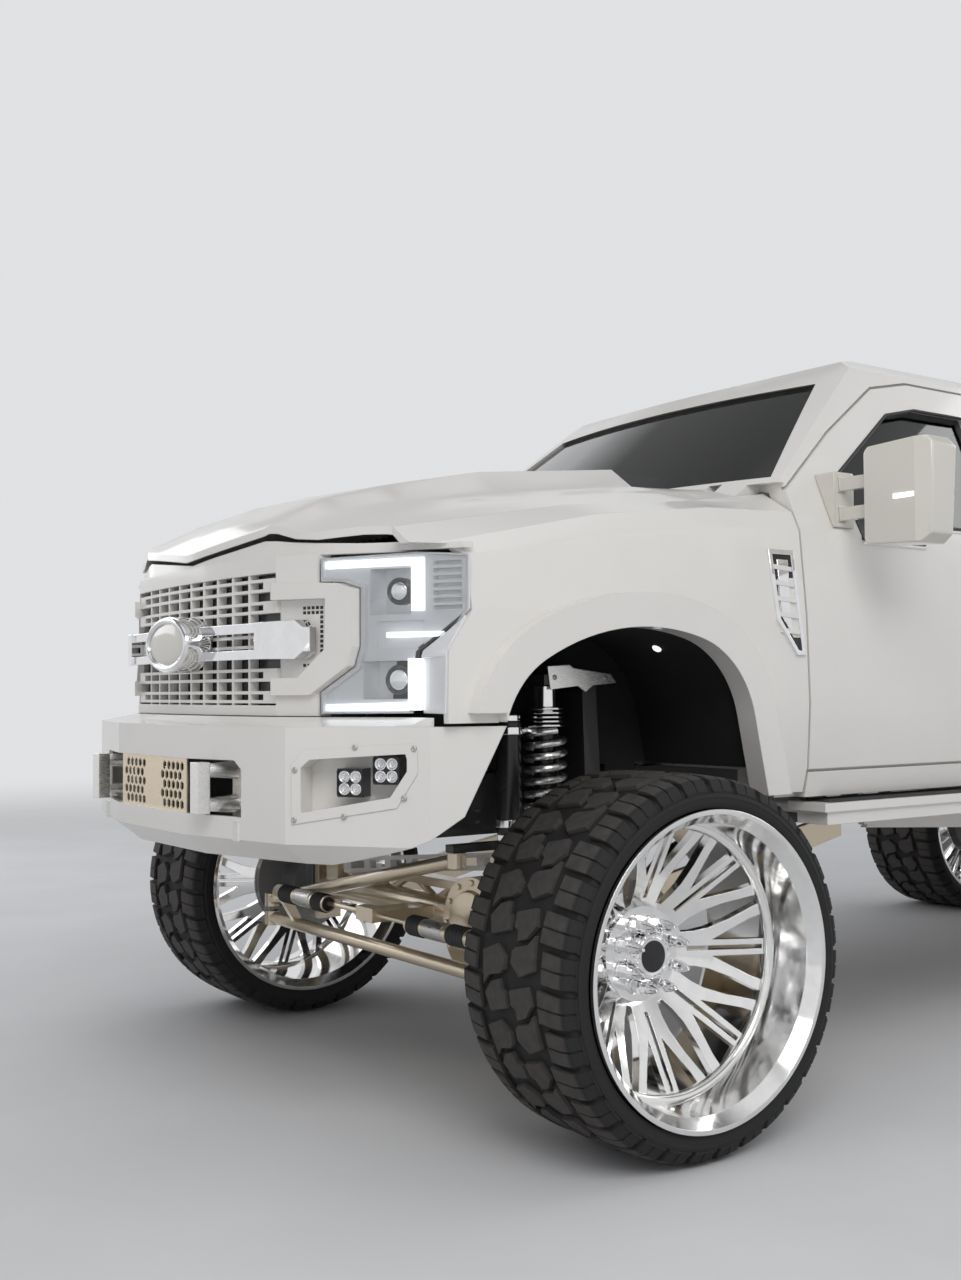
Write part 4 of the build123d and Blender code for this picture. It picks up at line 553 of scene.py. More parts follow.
def grille_mesh():
    rows = [section_x(x, *(nose_y(x, depth) for depth in BACKING_DEPTHS), *BACKING_Z)
            for x in spread(-BACKING_HALF, BACKING_HALF, 24)]
    Shape().run(rows).piece("grille_backing", "truck", "dark_plastic")
    holes = Shape()
    for s in (-1, 1):
        for i in range(MESH_COLUMNS):
            for k in range(MESH_ROWS):
                x, z = MESH_X + i * MESH_PITCH, MESH_Z + k * MESH_PITCH
                on_bar = BAR_LOW < z < BAR_HIGH and x < BAR_END
                under_frame = z < MESH_Z + (x - FRAME_X) * FRAME_SLOPE - FRAME_EDGE
                if on_bar or under_frame:
                    continue
                y = nose_y(x, MESH_DEPTH)
                slope = (nose_y(x + SMALL) - nose_y(x - SMALL)) / (2 * SMALL)
                holes.run([[at(s * (x + dx), y + slope * dx + dy, z + dz)
                            for dx, dz in rect(0, 0, MESH_HOLE, MESH_HOLE)] for dy in MESH_WALL])
    holes.piece("grille_pocket_mesh", "truck", "dark_plastic", smooth=0)


# coil towers' plates, and the bumper's screws and lamp pods

TOWER_FACE = 0.650
TOWER_FACES = (TOWER_FACE - 0.0005, TOWER_FACE + 0.0045)
TOWER_PLATE = [(-0.050, 1.254), (0.030, 1.2585), (0.045, 1.249), (0.185, 1.2315), (0.2075, 1.2055),
               (0.118, 1.199), (0.090, 1.180), (0.060, 1.197), (-0.040, 1.187)]
TOWER_BOLTS = ((-0.025, 1.222), (0.165, 1.219))
SCREW_HEAD = [(0.0001, 0.0), (0.0075, 0.0), (0.0075, 0.002), (0.006, 0.0035), (0.0032, 0.0038),
              (0.0028, 0.0015), (0.0001, 0.0015)]
BOWL = [(0.0150, -0.001), (0.0150, 0.0025), (0.0128, 0.0025), (0.0095, -0.0005), (0.0030, -0.0008),
        (0.0001, -0.0008)]
WING_START = Vector((0.643, -0.877, 0))
WING_END = Vector((0.950, -0.643, 0))
BEZEL_SCREWS = [(0.028, 0.990), (0.190, 1.047), (0.345, 1.045), (0.318, 0.925), (0.160, 0.877),
                (0.026, 0.866)]
POD_CORNERS = [(0.134, 0.924), (0.230, 0.956)]
POD_HALF, POD_DEEP, BOWL_PLACE, CHIP_HALF = 0.035, 0.018, 0.0152, 0.003
POD_OUTLINE = [(-1, -0.86), (-0.86, -1), (0.86, -1), (1, -0.86), (1, 0.86), (0.86, 1), (-0.86, 1), (-1, 0.86)]


def tower_plates():
    plates, bolts = Shape(), Shape()
    for s in (-1, 1):
        plates.run([[at(s * x, y, z) for y, z in TOWER_PLATE] for x in TOWER_FACES])
        for y, z in TOWER_BOLTS:
            bolts.lathe(SCREW_HEAD, facing(at(s * (TOWER_FACE + 0.004), y, z), (s, 0, 0)), 16)
    plates.piece("tower_plates", "truck", "bare_steel", MATERIALS["brushed_alloy"], bevel=0.0008)
    bolts.piece("tower_plate_bolts", "truck", "bare_steel")


def wing_place(s, run, height, depth):
    """Place on the bumper's wing with z straight out of it."""
    ahead = (WING_END - WING_START).normalized()
    out = Vector((ahead.y, -ahead.x, 0))
    spot = at(*WING_START) + ahead * run + Vector((0, 0, height)) - out * depth
    return facing((s * spot.x, spot.y, spot.z), (s * out.x, out.y, 0))


def bumper_fittings():
    screws, bowls, frames, chips = Shape(), Shape(), Shape(), Shape()
    for s in (-1, 1):
        for run, height in BEZEL_SCREWS:
            screws.lathe(SCREW_HEAD, wing_place(s, run, height, -0.0030), 12)
        for run, height in POD_CORNERS:
            middle = wing_place(s, run + POD_HALF, height + POD_HALF, POD_DEEP)
            frames.ring([[(x * POD_HALF * k, y * POD_HALF * k, z) for x, y in POD_OUTLINE]
                         for k, z in ((1, 0), (1, 0.005), (0.9, 0.005), (0.9, 0))], middle)
            for x, y in rect(-1, -1, 1, 1):
                spot = beside(middle, x * BOWL_PLACE, y * BOWL_PLACE, 0.001)
                bowls.lathe(BOWL, spot, 20)
                chips.prism(rect(-CHIP_HALF, -CHIP_HALF, CHIP_HALF, CHIP_HALF), -0.0008, 0.0012, spot)
    screws.piece("bezel_screws", "truck", "bare_steel")
    bowls.piece("pod_reflectors", "truck", "chrome_trim")
    frames.piece("pod_bezels", "truck", "dark_plastic", bevel=0.0006)
    chips.piece("pod_emitters", "truck", "lamp_housing")


# fender vent: chromed frame, dark inside with slats

VENT_OUT = [(0.488, 1.588), (0.505, 1.382), (0.582, 1.282), (0.620, 1.282), (0.593, 1.588)]
VENT_BAR = [(0.524, 1.560), (0.527, 1.395), (0.560, 1.352), (0.568, 1.352), (0.570, 1.560)]
VENT_SLATS, SLAT_TOP, SLAT_PITCH, SLAT_TALL, SLAT_TILT = 5, 1.545, 0.046, 0.014, 0.006
# the slats' ends: y at the vent's top, and how it grows downward
VENT_TOP, SLAT_FRONT, SLAT_REAR = 1.588, (0.503, 0.083), (0.578, 0.088)
# body side: height, and how far out
SIDE_X = [(0.884, 0.985), (1.078, 1.012), (1.143, 1.016), (1.400, 1.008), (1.640, 0.986), (1.705, 0.960)]


def side_x(z):
    """How far out the body side lies at height z."""
    return along(SIDE_X, z)


def inset(outline, amount):
    """Outline drawn in by amount, corners mitred; counter-clockwise or not."""
    points = [Vector(p) for p in outline]
    after = points[1:] + points[:1]
    turn = 1 if sum(p.x * q.y - q.x * p.y for p, q in zip(points, after)) > 0 else -1
    normals = [Vector((p.y - q.y, q.x - p.x)).normalized() * turn for p, q in zip(points, after)]
    return [tuple(q + (n0 + n1) * (amount / (1 + n0.dot(n1))))
            for q, n0, n1 in zip(points, normals[-1:] + normals[:-1], normals)]


def on_body(outline, lift, s):
    return [at(s * (side_x(z) + lift), y, z) for y, z in outline]


def side_ring(shape, outline, width, low, high, s):
    """Flat ring on the body side between an (y, z) outline and itself drawn in."""
    inner = inset(outline, width)
    rows = [on_body(points, lift, s)
            for points, lift in ((outline, low), (outline, high), (inner, high), (inner, low))]
    shape.ring(rows[::-s])


def side_plate(shape, outline, low, high, s):
    shape.run([on_body(outline, lift, s) for lift in (low, high)][::-s])


def vents():
    rims, dark, slats = Shape(), Shape(), Shape()
    for s in (-1, 1):
        side_ring(rims, VENT_OUT, 0.014, -0.004, 0.008, s)
        side_plate(dark, inset(VENT_OUT, 0.012), -0.003, 0.0015, s)
        side_plate(rims, VENT_BAR, -0.002, 0.0045, s)
        for i in range(VENT_SLATS):
            z = SLAT_TOP - i * SLAT_PITCH
            y0, y1 = (y + (VENT_TOP - z) * growth for y, growth in (SLAT_FRONT, SLAT_REAR))
            foot = z - SLAT_TALL
            side_plate(slats, [(y0, z), (y1, z - SLAT_TILT), (y1, foot - SLAT_TILT), (y0, foot)], -0.002,
                       0.0060, s)
    rims.piece("vent_frames", "truck", "chrome_trim", bevel=0.0015)
    dark.piece("vent_floor", "truck", "dark_plastic", smooth=0)
    slats.piece("vent_slats", "truck", "body_white", bevel=0.001)


# doors: bright belt line, window seals, locks

BELT_Z, BELT_X = 1.705, 0.960
PILLAR_SLOPE = (BELT_X - 0.738) / (2.250 - BELT_Z)
FRONT_WINDOW = [(0.915, 1.640), (1.215, 1.640), (1.295, 1.702), (1.715, 1.706), (1.715, 2.128),
                (1.430, 2.128), (1.265, 2.092), (0.915, 1.858)]
REAR_WINDOW = [(1.865, 1.706), (2.675, 1.706), (2.635, 2.090), (2.595, 2.128), (1.865, 2.128)]
WINDOWS = (("front", FRONT_WINDOW, 4), ("rear", REAR_WINDOW, 2))
SEAL_R, BRIGHT_R, BRIGHT_DROP = 0.0055, 0.0065, 0.011
LOCK = [(0.0001, -0.004), (0.009, -0.004), (0.009, 0.0012), (0.007, 0.002), (0.0001, 0.002)]
LOCK_Y, LOCK_Z = 1.700, 1.415
EDGE_PARTS = 3


def window_x(z):
    return BELT_X - (z - BELT_Z) * PILLAR_SLOPE if z > BELT_Z else side_x(z)


def on_side(points, lift, s, closed):
    """Path on the side of the cab through (y, z) points."""
    after = points[1:] + points[:1] if closed else points[1:]
    path = [(y0 + (y1 - y0) * k / EDGE_PARTS, z0 + (z1 - z0) * k / EDGE_PARTS)
            for (y0, z0), (y1, z1) in zip(points, after) for k in range(EDGE_PARTS)]
    if not closed:
        path.append(points[-1])
    return [at(s * (window_x(z) + lift), y, z) for y, z in path]


def doors():
    for s, hand in SIDES:
        for place, outline, belt in WINDOWS:
            body = "%s_door_%s" % (place, hand)
            seal = Shape().tube(on_side(inset(outline, 0.001), -0.001, s, True), SEAL_R, 8, closed=True)
            seal.piece("window_seal_%s_%s" % (place, hand), body, "black_trim")
            low = [(y, z - BRIGHT_DROP) for y, z in outline[:belt]]
            bright = Shape().tube(on_side(low, 0.0, s, False), BRIGHT_R, 8)
            bright.piece("belt_line_%s_%s" % (place, hand), body, "chrome_trim")
        lock = Shape().lathe(LOCK, facing(at(s * side_x(LOCK_Z), LOCK_Y, LOCK_Z), (s, 0, 0)), 20)
        lock.piece("door_lock_" + hand, "front_door_" + hand, "bare_steel")


# wheels: spiked nuts, ringed hub caps, brake discs and calipers

CAP_FRONT_X, HUB_FACE_X, REAR_INSET = 1.029, 0.985, 0.019
SPOKE_RING = [(0.3530, 1.092), (0.3400, 1.094), (0.3375, 1.103), (0.3395, 1.113), (0.3455, 1.119),
              (0.3530, 1.120)]
NUTS, NUT_CIRCLE, NUT_HEX_R = 8, 0.085, 0.0185
NUT_SEAT = [(0.0225, -0.002), (0.0225, 0.004), (0.0195, 0.009)]
NUT_SPIKE = [(0.0158, 0.044), (0.0158, 0.063), (0.0135, 0.066), (0.0125, 0.078), (0.0050, 0.096),
             (0.0005, 0.099)]
CAP_WALL = [(0.0645, -0.050), (0.0645, -0.006), (0.060, 0.003), (0.0565, 0.006), (0.052, 0.006),
            (0.0495, 0.002), (0.0475, 0.0015)]
CAP_BOLT = [(0.0032, 0), (0.0032, 0.0025), (0.0018, 0.0035)]
CAP_FACE = [(0.047, -0.001), (0.047, 0.0012), (0.040, 0.0016), (0.020, 0.0032), (0.0005, 0.0036)]
CAP_BOLTS, CAP_BOLT_R = 10, 0.0542
DISC_R, DISC_X = 0.188, 0.9275
DISC = [(0.110, -0.001), (DISC_R + 0.003, -0.001), (DISC_R + 0.003, 0.0045), (0.112, 0.0045)]
DISC_SLOTS, SLOT_R, SLOT_TURN, SLOT_OUTLINE = 18, 0.150, 0.5, rect(-0.024, -0.0022, 0.024, 0.0022)
CALIPER_HALF, CALIPER_IN, CALIPER_OUT = math.radians(28), 0.125, 0.222
CALIPER_DEPTH, CALIPER_FACE = (-0.055, 0.016), 0.015
CALIPER_BOLT, CALIPER_BOLT_R = math.radians(16), 0.175
CALIPER_HEAD = [(0.026, 0), (0.026, 0.003), (0.022, 0.005)]


def wheel_place(wheel, x):
    """Outward place on a wheel's axle, x from the middle of the truck; at the rear all lies further in."""
    s = 1 if wheel.endswith("left") else -1
    hub = HUB[wheel]
    back = REAR_INSET if wheel.startswith("rear") else 0.0
    return facing(Vector((s * (x - back), hub.y, hub.z)), (s, 0, 0))


def wheel_fittings(wheel):
    body = "wheel_" + wheel
    ring = Shape().lathe(SPOKE_RING, wheel_place(wheel, 0), 96, True)
    ring.piece("spoke_ring_" + wheel, body, "polished_alloy", smooth=50)
    nuts = Shape()
    hub_face = wheel_place(wheel, HUB_FACE_X)
    for i in range(NUTS):
        spot = beside(hub_face, *polar(NUT_CIRCLE, FULL_TURN * (i + 0.5) / NUTS))
        nuts.lathe(NUT_SEAT, spot, 24)
        nuts.prism(circle(NUT_HEX_R, 6), 0.006, 0.045, spot)
        nuts.lathe(NUT_SPIKE, spot, 16)
    nuts.piece("lug_nuts_" + wheel, body, "chrome_trim", bevel=0.0008)
    cap = Shape()
    face = wheel_place(wheel, CAP_FRONT_X)
    cap.lathe(CAP_WALL, face, 48)
    for x, y in circle(CAP_BOLT_R, CAP_BOLTS):
        cap.lathe(CAP_BOLT, beside(face, x, y, 0.006), 10)
    cap.piece("hub_ring_" + wheel, body, "chrome_trim")
    Shape().lathe(CAP_FACE, face, 48).piece("hub_face_" + wheel, body, "dark_plastic")


def brakes(wheel):
    holder = ("steer_" + wheel.split("_")[1]) if wheel.startswith("front") else "truck"
    place = wheel_place(wheel, DISC_X)
    disc = Shape().lathe(DISC, place, 72, True)
    for i in range(DISC_SLOTS):
        spot = beside(place @ Matrix.Rotation(FULL_TURN * i / DISC_SLOTS, 4, "Z"), SLOT_R, 0, 0.0045)
        disc.prism(SLOT_OUTLINE, -0.002, 0.0006, spot @ Matrix.Rotation(SLOT_TURN, 4, "Z"))
    disc.piece("brake_disc_" + wheel, holder, "bare_steel")
    arc = spread(-CALIPER_HALF, CALIPER_HALF, 8)
    outline = [polar(CALIPER_OUT, a) for a in arc] + [polar(CALIPER_IN, a) for a in arc[::-1]]
    turned = place @ Matrix.Rotation(math.pi / 2, 4, "Z")
    caliper = Shape().prism(outline, *CALIPER_DEPTH, turned)
    for a in (-CALIPER_BOLT, CALIPER_BOLT):
        caliper.lathe(CALIPER_HEAD, beside(turned, *polar(CALIPER_BOLT_R, a), CALIPER_FACE), 24)
    caliper.piece("brake_caliper_" + wheel, holder, "gold_paint", bevel=0.004)


# front suspension: helical springs, bodies, reservoirs; boots on the stabilisers and joints

COIL_X, COIL_Y = 0.600, -0.020
COIL_FOOT, COIL_HEAD = 0.592, 1.197
SPRING_LOW, SPRING_HIGH = 0.690, 1.070
SPRING_R, WIRE_R, SPRING_TURNS, TURN_STEPS = 0.054, 0.0105, 11, 20
TANK_Y, TANK_LOW, TANK_HIGH, TANK_R = -0.150, 0.760, 1.120, 0.036
TANK_CLAMPS = (0.812, 1.072)
COIL_BODY = [(0.030, 0.700), (0.033, 0.706), (0.033, 1.090), (0.030, 1.094)]
TANK_BODY = [(0.034, TANK_LOW + 0.022), (TANK_R, TANK_LOW + 0.024), (TANK_R, TANK_HIGH - 0.024),
             (0.034, TANK_HIGH - 0.022)]
COIL_SHAFT = [(0.034, COIL_FOOT), (0.034, 0.640), (0.014, 0.652), (0.014, 0.760)]
SPRING_SEAT = [(0.036, SPRING_LOW - 0.026), (0.060, SPRING_LOW - 0.022), (0.060, SPRING_LOW - 0.008),
               (0.036, SPRING_LOW - 0.006)]
COLLARS, COLLAR_PITCH, COLLAR_R = 5, 0.012, 0.061
STAB_Z, STAB_Y, STAB_BAND = 0.492, -0.258, 0.345
STAB_BOOTS = ((0.262, 0.330), (0.470, 0.560))
BOOT_RIDGES = 6
TIE_BOOT = [(0.026, -0.001), (0.024, 0.004), (0.021, 0.006), (0.018, 0.008)]
TIE_BOOT_X, TIE_BOOT_Y, TIE_BOOT_Z = 0.785, -0.190, 0.400


def helix(s):
    steps = SPRING_TURNS * TURN_STEPS
    path = []
    for i, z in enumerate(spread(SPRING_LOW, SPRING_HIGH, steps)):
        x, y = polar(SPRING_R, FULL_TURN * i / TURN_STEPS)
        path.append(at(s * (COIL_X + x), COIL_Y + y, z))
    return path


def coilover_units():
    springs, blacks, alloys = Shape(), Shape(), Shape()
    for s in (-1, 1):
        springs.tube(helix(s), WIRE_R, 10)
        foot = stand(s * COIL_X, COIL_Y)
        alloys.lathe(COIL_SHAFT, foot, 28)
        alloys.lathe(SPRING_SEAT, foot, 36)
        blacks.lathe(COIL_BODY, foot, 32)
        for i in range(COLLARS):
            z = SPRING_HIGH + 0.010 + i * COLLAR_PITCH
            r = COLLAR_R - 0.004 * (i > 0)
            alloys.lathe([(0.037, z), (r, z + 0.002), (r, z + 0.007), (0.037, z + 0.009)], foot, 36)
        alloys.lathe([(0.034, 1.125), (0.034, COIL_HEAD)], foot, 28)
        tank = stand(s * COIL_X, TANK_Y)
        blacks.lathe(TANK_BODY, tank, 36)
        for z, up in ((TANK_LOW, 1), (TANK_HIGH, -1)):
            alloys.lathe([(0.026, z), (0.0345, z + up * 0.005), (0.0345, z + up * 0.020),
                          (0.030, z + up * 0.024)], tank, 32)
        for z in TANK_CLAMPS:
            alloys.lathe([(0.0365, z - 0.012), (0.040, z - 0.010), (0.040, z + 0.010), (0.0365, z + 0.012)],
                         tank, 36)
            alloys.tube([at(s * COIL_X, TANK_Y + 0.035, z), at(s * COIL_X, COIL_Y - 0.030, z)], 0.010, 10)
    bodies = blacks.piece("coilover_bodies", "truck", "dark_plastic")
    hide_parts("coilovers")
    springs.piece("coilover_springs", "truck", "bare_steel", MATERIALS["brushed_alloy"])
    alloys.piece("coilover_fittings", "truck", "polished_alloy")


def steering_boots():
    boots, rings = Shape(), Shape()
    for s in (-1, 1):
        for start, end in STAB_BOOTS:
            d = (end - start) / BOOT_RIDGES
            ridges = [(r, (i + share) * d) for i in range(BOOT_RIDGES)
                      for r, share in ((0.0278, 0), (0.0310, 0.25), (0.0310, 0.6), (0.0278, 0.9))]
            boots.lathe(ridges, facing(at(s * start, STAB_Y, STAB_Z), (s, 0, 0)), 28)
        rings.lathe([(0.0275, 0), (0.0290, 0.002), (0.0290, 0.100), (0.0275, 0.102)],
                    facing(at(s * STAB_BAND, STAB_Y, STAB_Z), (s, 0, 0)), 28)
    boots.piece("stabiliser_boots", "tie", "black_trim")
    rings.piece("stabiliser_bands", "tie", "bare_steel")
    for s, hand in SIDES:
        boot = Shape().lathe(TIE_BOOT, stand(s * TIE_BOOT_X, TIE_BOOT_Y, TIE_BOOT_Z), 24)
        boot.piece("tie_boot_" + hand, "tie", "black_trim")


# cabin: padded seats over plain pedestals, dashboard fittings

SEAT_FLOOR, SEAT_TOP, CABIN_FLOOR = 1.176, 1.385, 0.9755
BACK_LEAN = math.radians(9.2)
CUSHION_STEPS, CUSHION_POWER = 14, 5.0
CHANNEL_WIDE, CHANNEL_DEEP = 0.035, 0.10
# half sizes along y and z, or all three, and places behind the seat's middle and above the ground
BASE_HALF, BACK_HALF, HEADREST_HALF = (0.275, 0.105), (0.062, 0.325), (0.125, 0.045, 0.085)
BACK_Y, BACK_Z, HEADREST_Y, HEADREST_Z = 0.292, 1.690, 0.358, 2.030
BENCH_HALF, HEADREST_PITCH = 0.4, 0.44
# seats: name, middle across, middle behind the front axle, half width, sewn channels
SEATS = [("left", 0.430, 1.430, 0.260, (-0.45, 0.45)), ("right", -0.430, 1.430, 0.260, (-0.45, 0.45)),
         ("bench", 0.0, 2.380, 0.700, (-0.34, 0.34))]


def cushion(name, middle, half, lean=0.0, channels=(), pull=0.03):
    """Padded piece: a rounded box, crowned on its faces, drawn in between its corners and channelled."""
    shape = Shape()
    steps = spread(-1, 1, CUSHION_STEPS)
    place = Matrix.Translation(middle) @ Matrix.Rotation(-lean, 4, "X")
    for axis in range(3):
        for s in (-1, 1):
            verts = []
            for a in steps:
                for b in steps:
                    point = [0, 0, 0]
                    point[axis], point[(axis + 1) % 3], point[(axis + 2) % 3] = s, a, b
                    size = sum(abs(c) ** CUSHION_POWER for c in point) ** (1 / CUSHION_POWER)
                    x, y, z = (c / size for c in point)
                    x *= 1 - pull * (1 - z * z) * (1 - y * y)
                    groove = max((math.exp(-((x - c) / CHANNEL_WIDE) ** 2) for c in channels), default=0.0)
                    lift = 1 - CHANNEL_DEEP * groove
                    y_face, z_face = (y, z * lift) if half[2] < half[1] else (y * lift, z)
                    verts.append((x * half[0], y_face * half[1], z_face * half[2]))
            shape.add([verts], bands(len(steps), len(steps), closed=False), place)
    made = shape.piece(name, "truck", "seat_cover", smooth=60)
    weld = made.modifiers.new("weld", "WELD")
    weld.merge_threshold = 0.0001
    return made


def seat(name, x, y, half, channels):
    """Cushion, back and headrests of one seat whose cushion is centred at (x, y)."""
    made = cushion("seat_base_" + name, at(x, y, (SEAT_FLOOR + SEAT_TOP) / 2), (half, *BASE_HALF), 0,
                   channels)
    cushion("seat_back_" + name, at(x, y + BACK_Y, BACK_Z), (half - 0.008, *BACK_HALF), -BACK_LEAN, channels)
    count = 1 if half < BENCH_HALF else 3
    for i in range(count):
        across = (i - (count - 1) / 2) * HEADREST_PITCH
        cushion("headrest_%s_%d" % (name, i), at(x + across, y + HEADREST_Y, HEADREST_Z), HEADREST_HALF,
                -BACK_LEAN, (), 0.05)
    return made


def seats():
    pedestals = Shape()
    for name, x, y, half, channels in SEATS:
        foot, top = half - 0.05, half - 0.08
        outline = [(x - foot, y - 0.21), (x + foot, y - 0.21), (x + top, y + 0.21), (x - top, y + 0.21)]
        pedestals.prism([(px, AXLE_Y + py) for px, py in outline], CABIN_FLOOR, SEAT_FLOOR + 0.02)
        for s in (-1, 1):
            post = x + s * (half - 0.12)
            pedestals.tube([at(post, y + 0.20, 1.22), at(post, y + 0.27, 1.42)], 0.016, 10)
    pedestals.piece("seat_pedestals", "truck", "cabin_trim", bevel=0.012)
    first = [seat(*row) for row in SEATS][0]
    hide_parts("seats")


DASH_REAR = 0.955
DASH_VENTS, VENT_BARS, VENT_HALF_X, VENT_HALF_Y = (-0.74, -0.22, 0.22, 0.74), 5, 0.063, 0.046
KNOB = [(0.020, -0.002), (0.020, 0.004), (0.0165, 0.006), (0.0150, 0.022), (0.012, 0.024)]
DIAL = [(0.062, -0.004), (0.062, 0.010), (0.057, 0.012), (0.055, 0.004)]
HOOD_A, HOOD_B, HOOD_DROP = 0.175, 0.105, 0.02


def dashboard_fittings():
    screen, grilles, knobs, hood = Shape(), Shape(), Shape(), Shape()
    back = (0, 1, 0)
    place = facing(at(0, DASH_REAR + 0.001, 1.475), back)
    screen.prism(rect(-0.135, -0.075, 0.135, 0.078), -0.003, 0.014, place)
    for x in DASH_VENTS:
        place = facing(at(x, DASH_REAR + 0.001, 1.500), back)
        for z in spread(-0.034, 0.034, VENT_BARS - 1):
            grilles.prism(rect(-0.055, z - 0.002, 0.055, z + 0.002), -0.002, 0.009, place)
        grilles.ring([[(px * VENT_HALF_X * k, py * VENT_HALF_Y * k, pz) for px, py in rect(-1, -1, 1, 1)]
                      for k, pz in ((1, -0.002), (1, 0.012), (0.9, 0.012), (0.9, -0.002))], place)
    for x in (-0.10, 0.0, 0.10):
        knobs.lathe(KNOB, facing(at(x, DASH_REAR - 0.002, 1.375), back), 28)
    dial = facing(at(0.43, DASH_REAR + 0.002, 1.545), back)
    for x in (-0.085, 0.085):
        knobs.lathe(DIAL, beside(dial, x, 0), 40)
    arch = [(HOOD_A * math.cos(a), HOOD_B * math.sin(a) - HOOD_DROP) for a in spread(0, math.pi, 12)]
    hood.prism(arch + [(x * 0.93, y * 0.90) for x, y in arch[::-1]], -0.02, 0.075, dial)
    screen.piece("dash_screen", "truck", "dark_plastic", bevel=0.004)
    grilles.piece("dash_vents", "truck", "black_trim", bevel=0.0006)
    knobs.piece("dash_knobs", "truck", "bare_steel")
    hood.piece("dash_binnacle", "truck", "cabin_trim", bevel=0.003)


# load bed, tailgate and rear

BED_FLOOR, BED_WALL_X = 1.177, 0.8795
BED_FRONT_WALL, BED_GATE_LINE = 3.135, 5.165
BED_RIBS, RIB_PITCH = 9, 0.132
RIB = [(-0.034, -0.002), (0.034, -0.002), (0.026, 0.007), (-0.026, 0.007)]
TIE_DOWNS = ((3.230, 1.270), (5.080, 1.270), (3.230, 1.600), (5.080, 1.600))
RAIL_TOP = 1.7095
GATE_FACE, HANDLE_Z = 5.250, 1.600
HANDLE_PLATE = [(-0.105, -0.030), (0.105, -0.030), (0.112, 0.0), (0.105, 0.032), (-0.105, 0.032),
                (-0.112, 0.0)]
STEP_RIBS, STEP_PITCH, STEP_X = 7, 0.018, (0.33, 0.74)
HITCH_Y, HITCH_Z = 5.330, 0.735
LAMP_RIBS, LAMP_RIB_X = (1.335, 1.395, 1.545, 1.605), (0.868, 0.972)


def bed_fittings():
    ribs = Shape()
    for i in range(BED_RIBS):
        x = (i - BED_RIBS // 2) * RIB_PITCH
        ribs.run([[at(x + px, y, BED_FLOOR + pz) for px, pz in RIB] for y in (BED_FRONT_WALL, BED_GATE_LINE)])
    ribs.piece("bed_floor_ribs", "truck", "body_white", bevel=0.002)
    loops, caps = Shape(), Shape()
    for s in (-1, 1):
        for y, z in TIE_DOWNS:
            plate = facing(at(s * BED_WALL_X, y, z), (-s, 0, 0))
            loops.prism(rect(-0.024, -0.018, 0.024, 0.018), -0.002, 0.004, plate)
            loops.tube([plate @ Vector((px, py - 0.018, 0.010)) for px, py in circle(0.017, 20)], 0.0042, 8,
                       closed=True)
        caps.block((s * 0.905, s * 0.985), (3.06, 5.235), (RAIL_TOP, RAIL_TOP + 0.007))
    loops.piece("bed_tie_downs", "truck", "bare_steel", bevel=0.0006)
    caps.piece("bed_rail_caps", "truck", "black_trim", bevel=0.004)


def gate_fittings():
    face = facing(at(0, GATE_FACE, HANDLE_Z), (0, 1, 0))
    handle = Shape().prism(HANDLE_PLATE, -0.010, 0.004, face)
    handle.prism(rect(-0.080, -0.012, 0.080, 0.014), 0.003, 0.010, face)
    handle.piece("gate_handle", "gate", "black_trim", bevel=0.002)
    cap = Shape().block((-0.836, 0.836), (5.192, 5.247), (RAIL_TOP, RAIL_TOP + 0.006))
    cap.piece("gate_top_cap", "gate", "black_trim", bevel=0.003)


def rear_fittings():
    lamp, clear = Shape(), Shape()
    place = facing(at(0, 2.9425, 2.186), (0, 0.727, 0.687))
    lamp.prism(rect(-0.10, -0.020, 0.10, 0.020), -0.006, 0.008, place)
    for x0, x1 in ((-0.185, -0.104), (0.104, 0.185)):
        clear.prism(rect(x0, -0.020, x1, 0.020), -0.006, 0.008, place)
    lamp.piece("high_brake_lamp", "truck", "red_lamp", bevel=0.003)
    clear.piece("cargo_lamps", "truck", "clear_lamp", bevel=0.003)
    pads, chain = Shape(), Shape()
    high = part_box("rear_bumper")[1]
    for s in (-1, 1):
        x0, x1 = sorted(s * x for x in STEP_X)
        for i in range(STEP_RIBS):
            y = high.y - 0.155 + i * STEP_PITCH
            pads.prism(rect(x0, y, x1, y + 0.009), high.z - 0.001, high.z + 0.004)
        link = [at(s * 0.075, HITCH_Y + 0.020 * y, HITCH_Z + 0.028 * z) for z, y in circle(1, 24)]
        chain.tube(link, 0.0065, 8, closed=True)
        chain.tube([at(s * x, HITCH_Y, HITCH_Z + 0.025) for x in (0.036, 0.075)], 0.010, 10)
    pads.piece("bumper_step_ribs", "truck", "black_trim", bevel=0.0008)
    chain.piece("hitch_chain_loops", "truck", "black_metal")
    ribs = Shape()
    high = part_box("tail_lamps")[1]
    for s in (-1, 1):
        x0, x1 = sorted(s * x for x in LAMP_RIB_X)
        for z in LAMP_RIBS:
            ribs.prism(rect(x0, z - 0.0015, x1, z + 0.0015), -0.0012, 0.010,
                       Matrix.Translation((0, high.y, 0)) @ Matrix.Rotation(math.pi / 2, 4, "X"))
    ribs.piece("tail_lamp_ribs", "truck", "red_lamp")


# under the truck: rear dampers, spring clamps, cover bolts

REAR_AXLE = 4.059
DAMPER_FOOT = (0.44, REAR_AXLE + 0.115, 0.430)
DAMPER_HEAD = (0.40, REAR_AXLE + 0.245, 0.830)
CLAMP_X, CLAMP_SHIFTS = 0.520, (-0.075, 0.075)
CLAMP_BEND = ((-0.046, 0.640), (-0.046, 0.400), (-0.036, 0.386), (0.036, 0.386), (0.046, 0.400),
              (0.046, 0.640))
COVER_BOLTS = 12


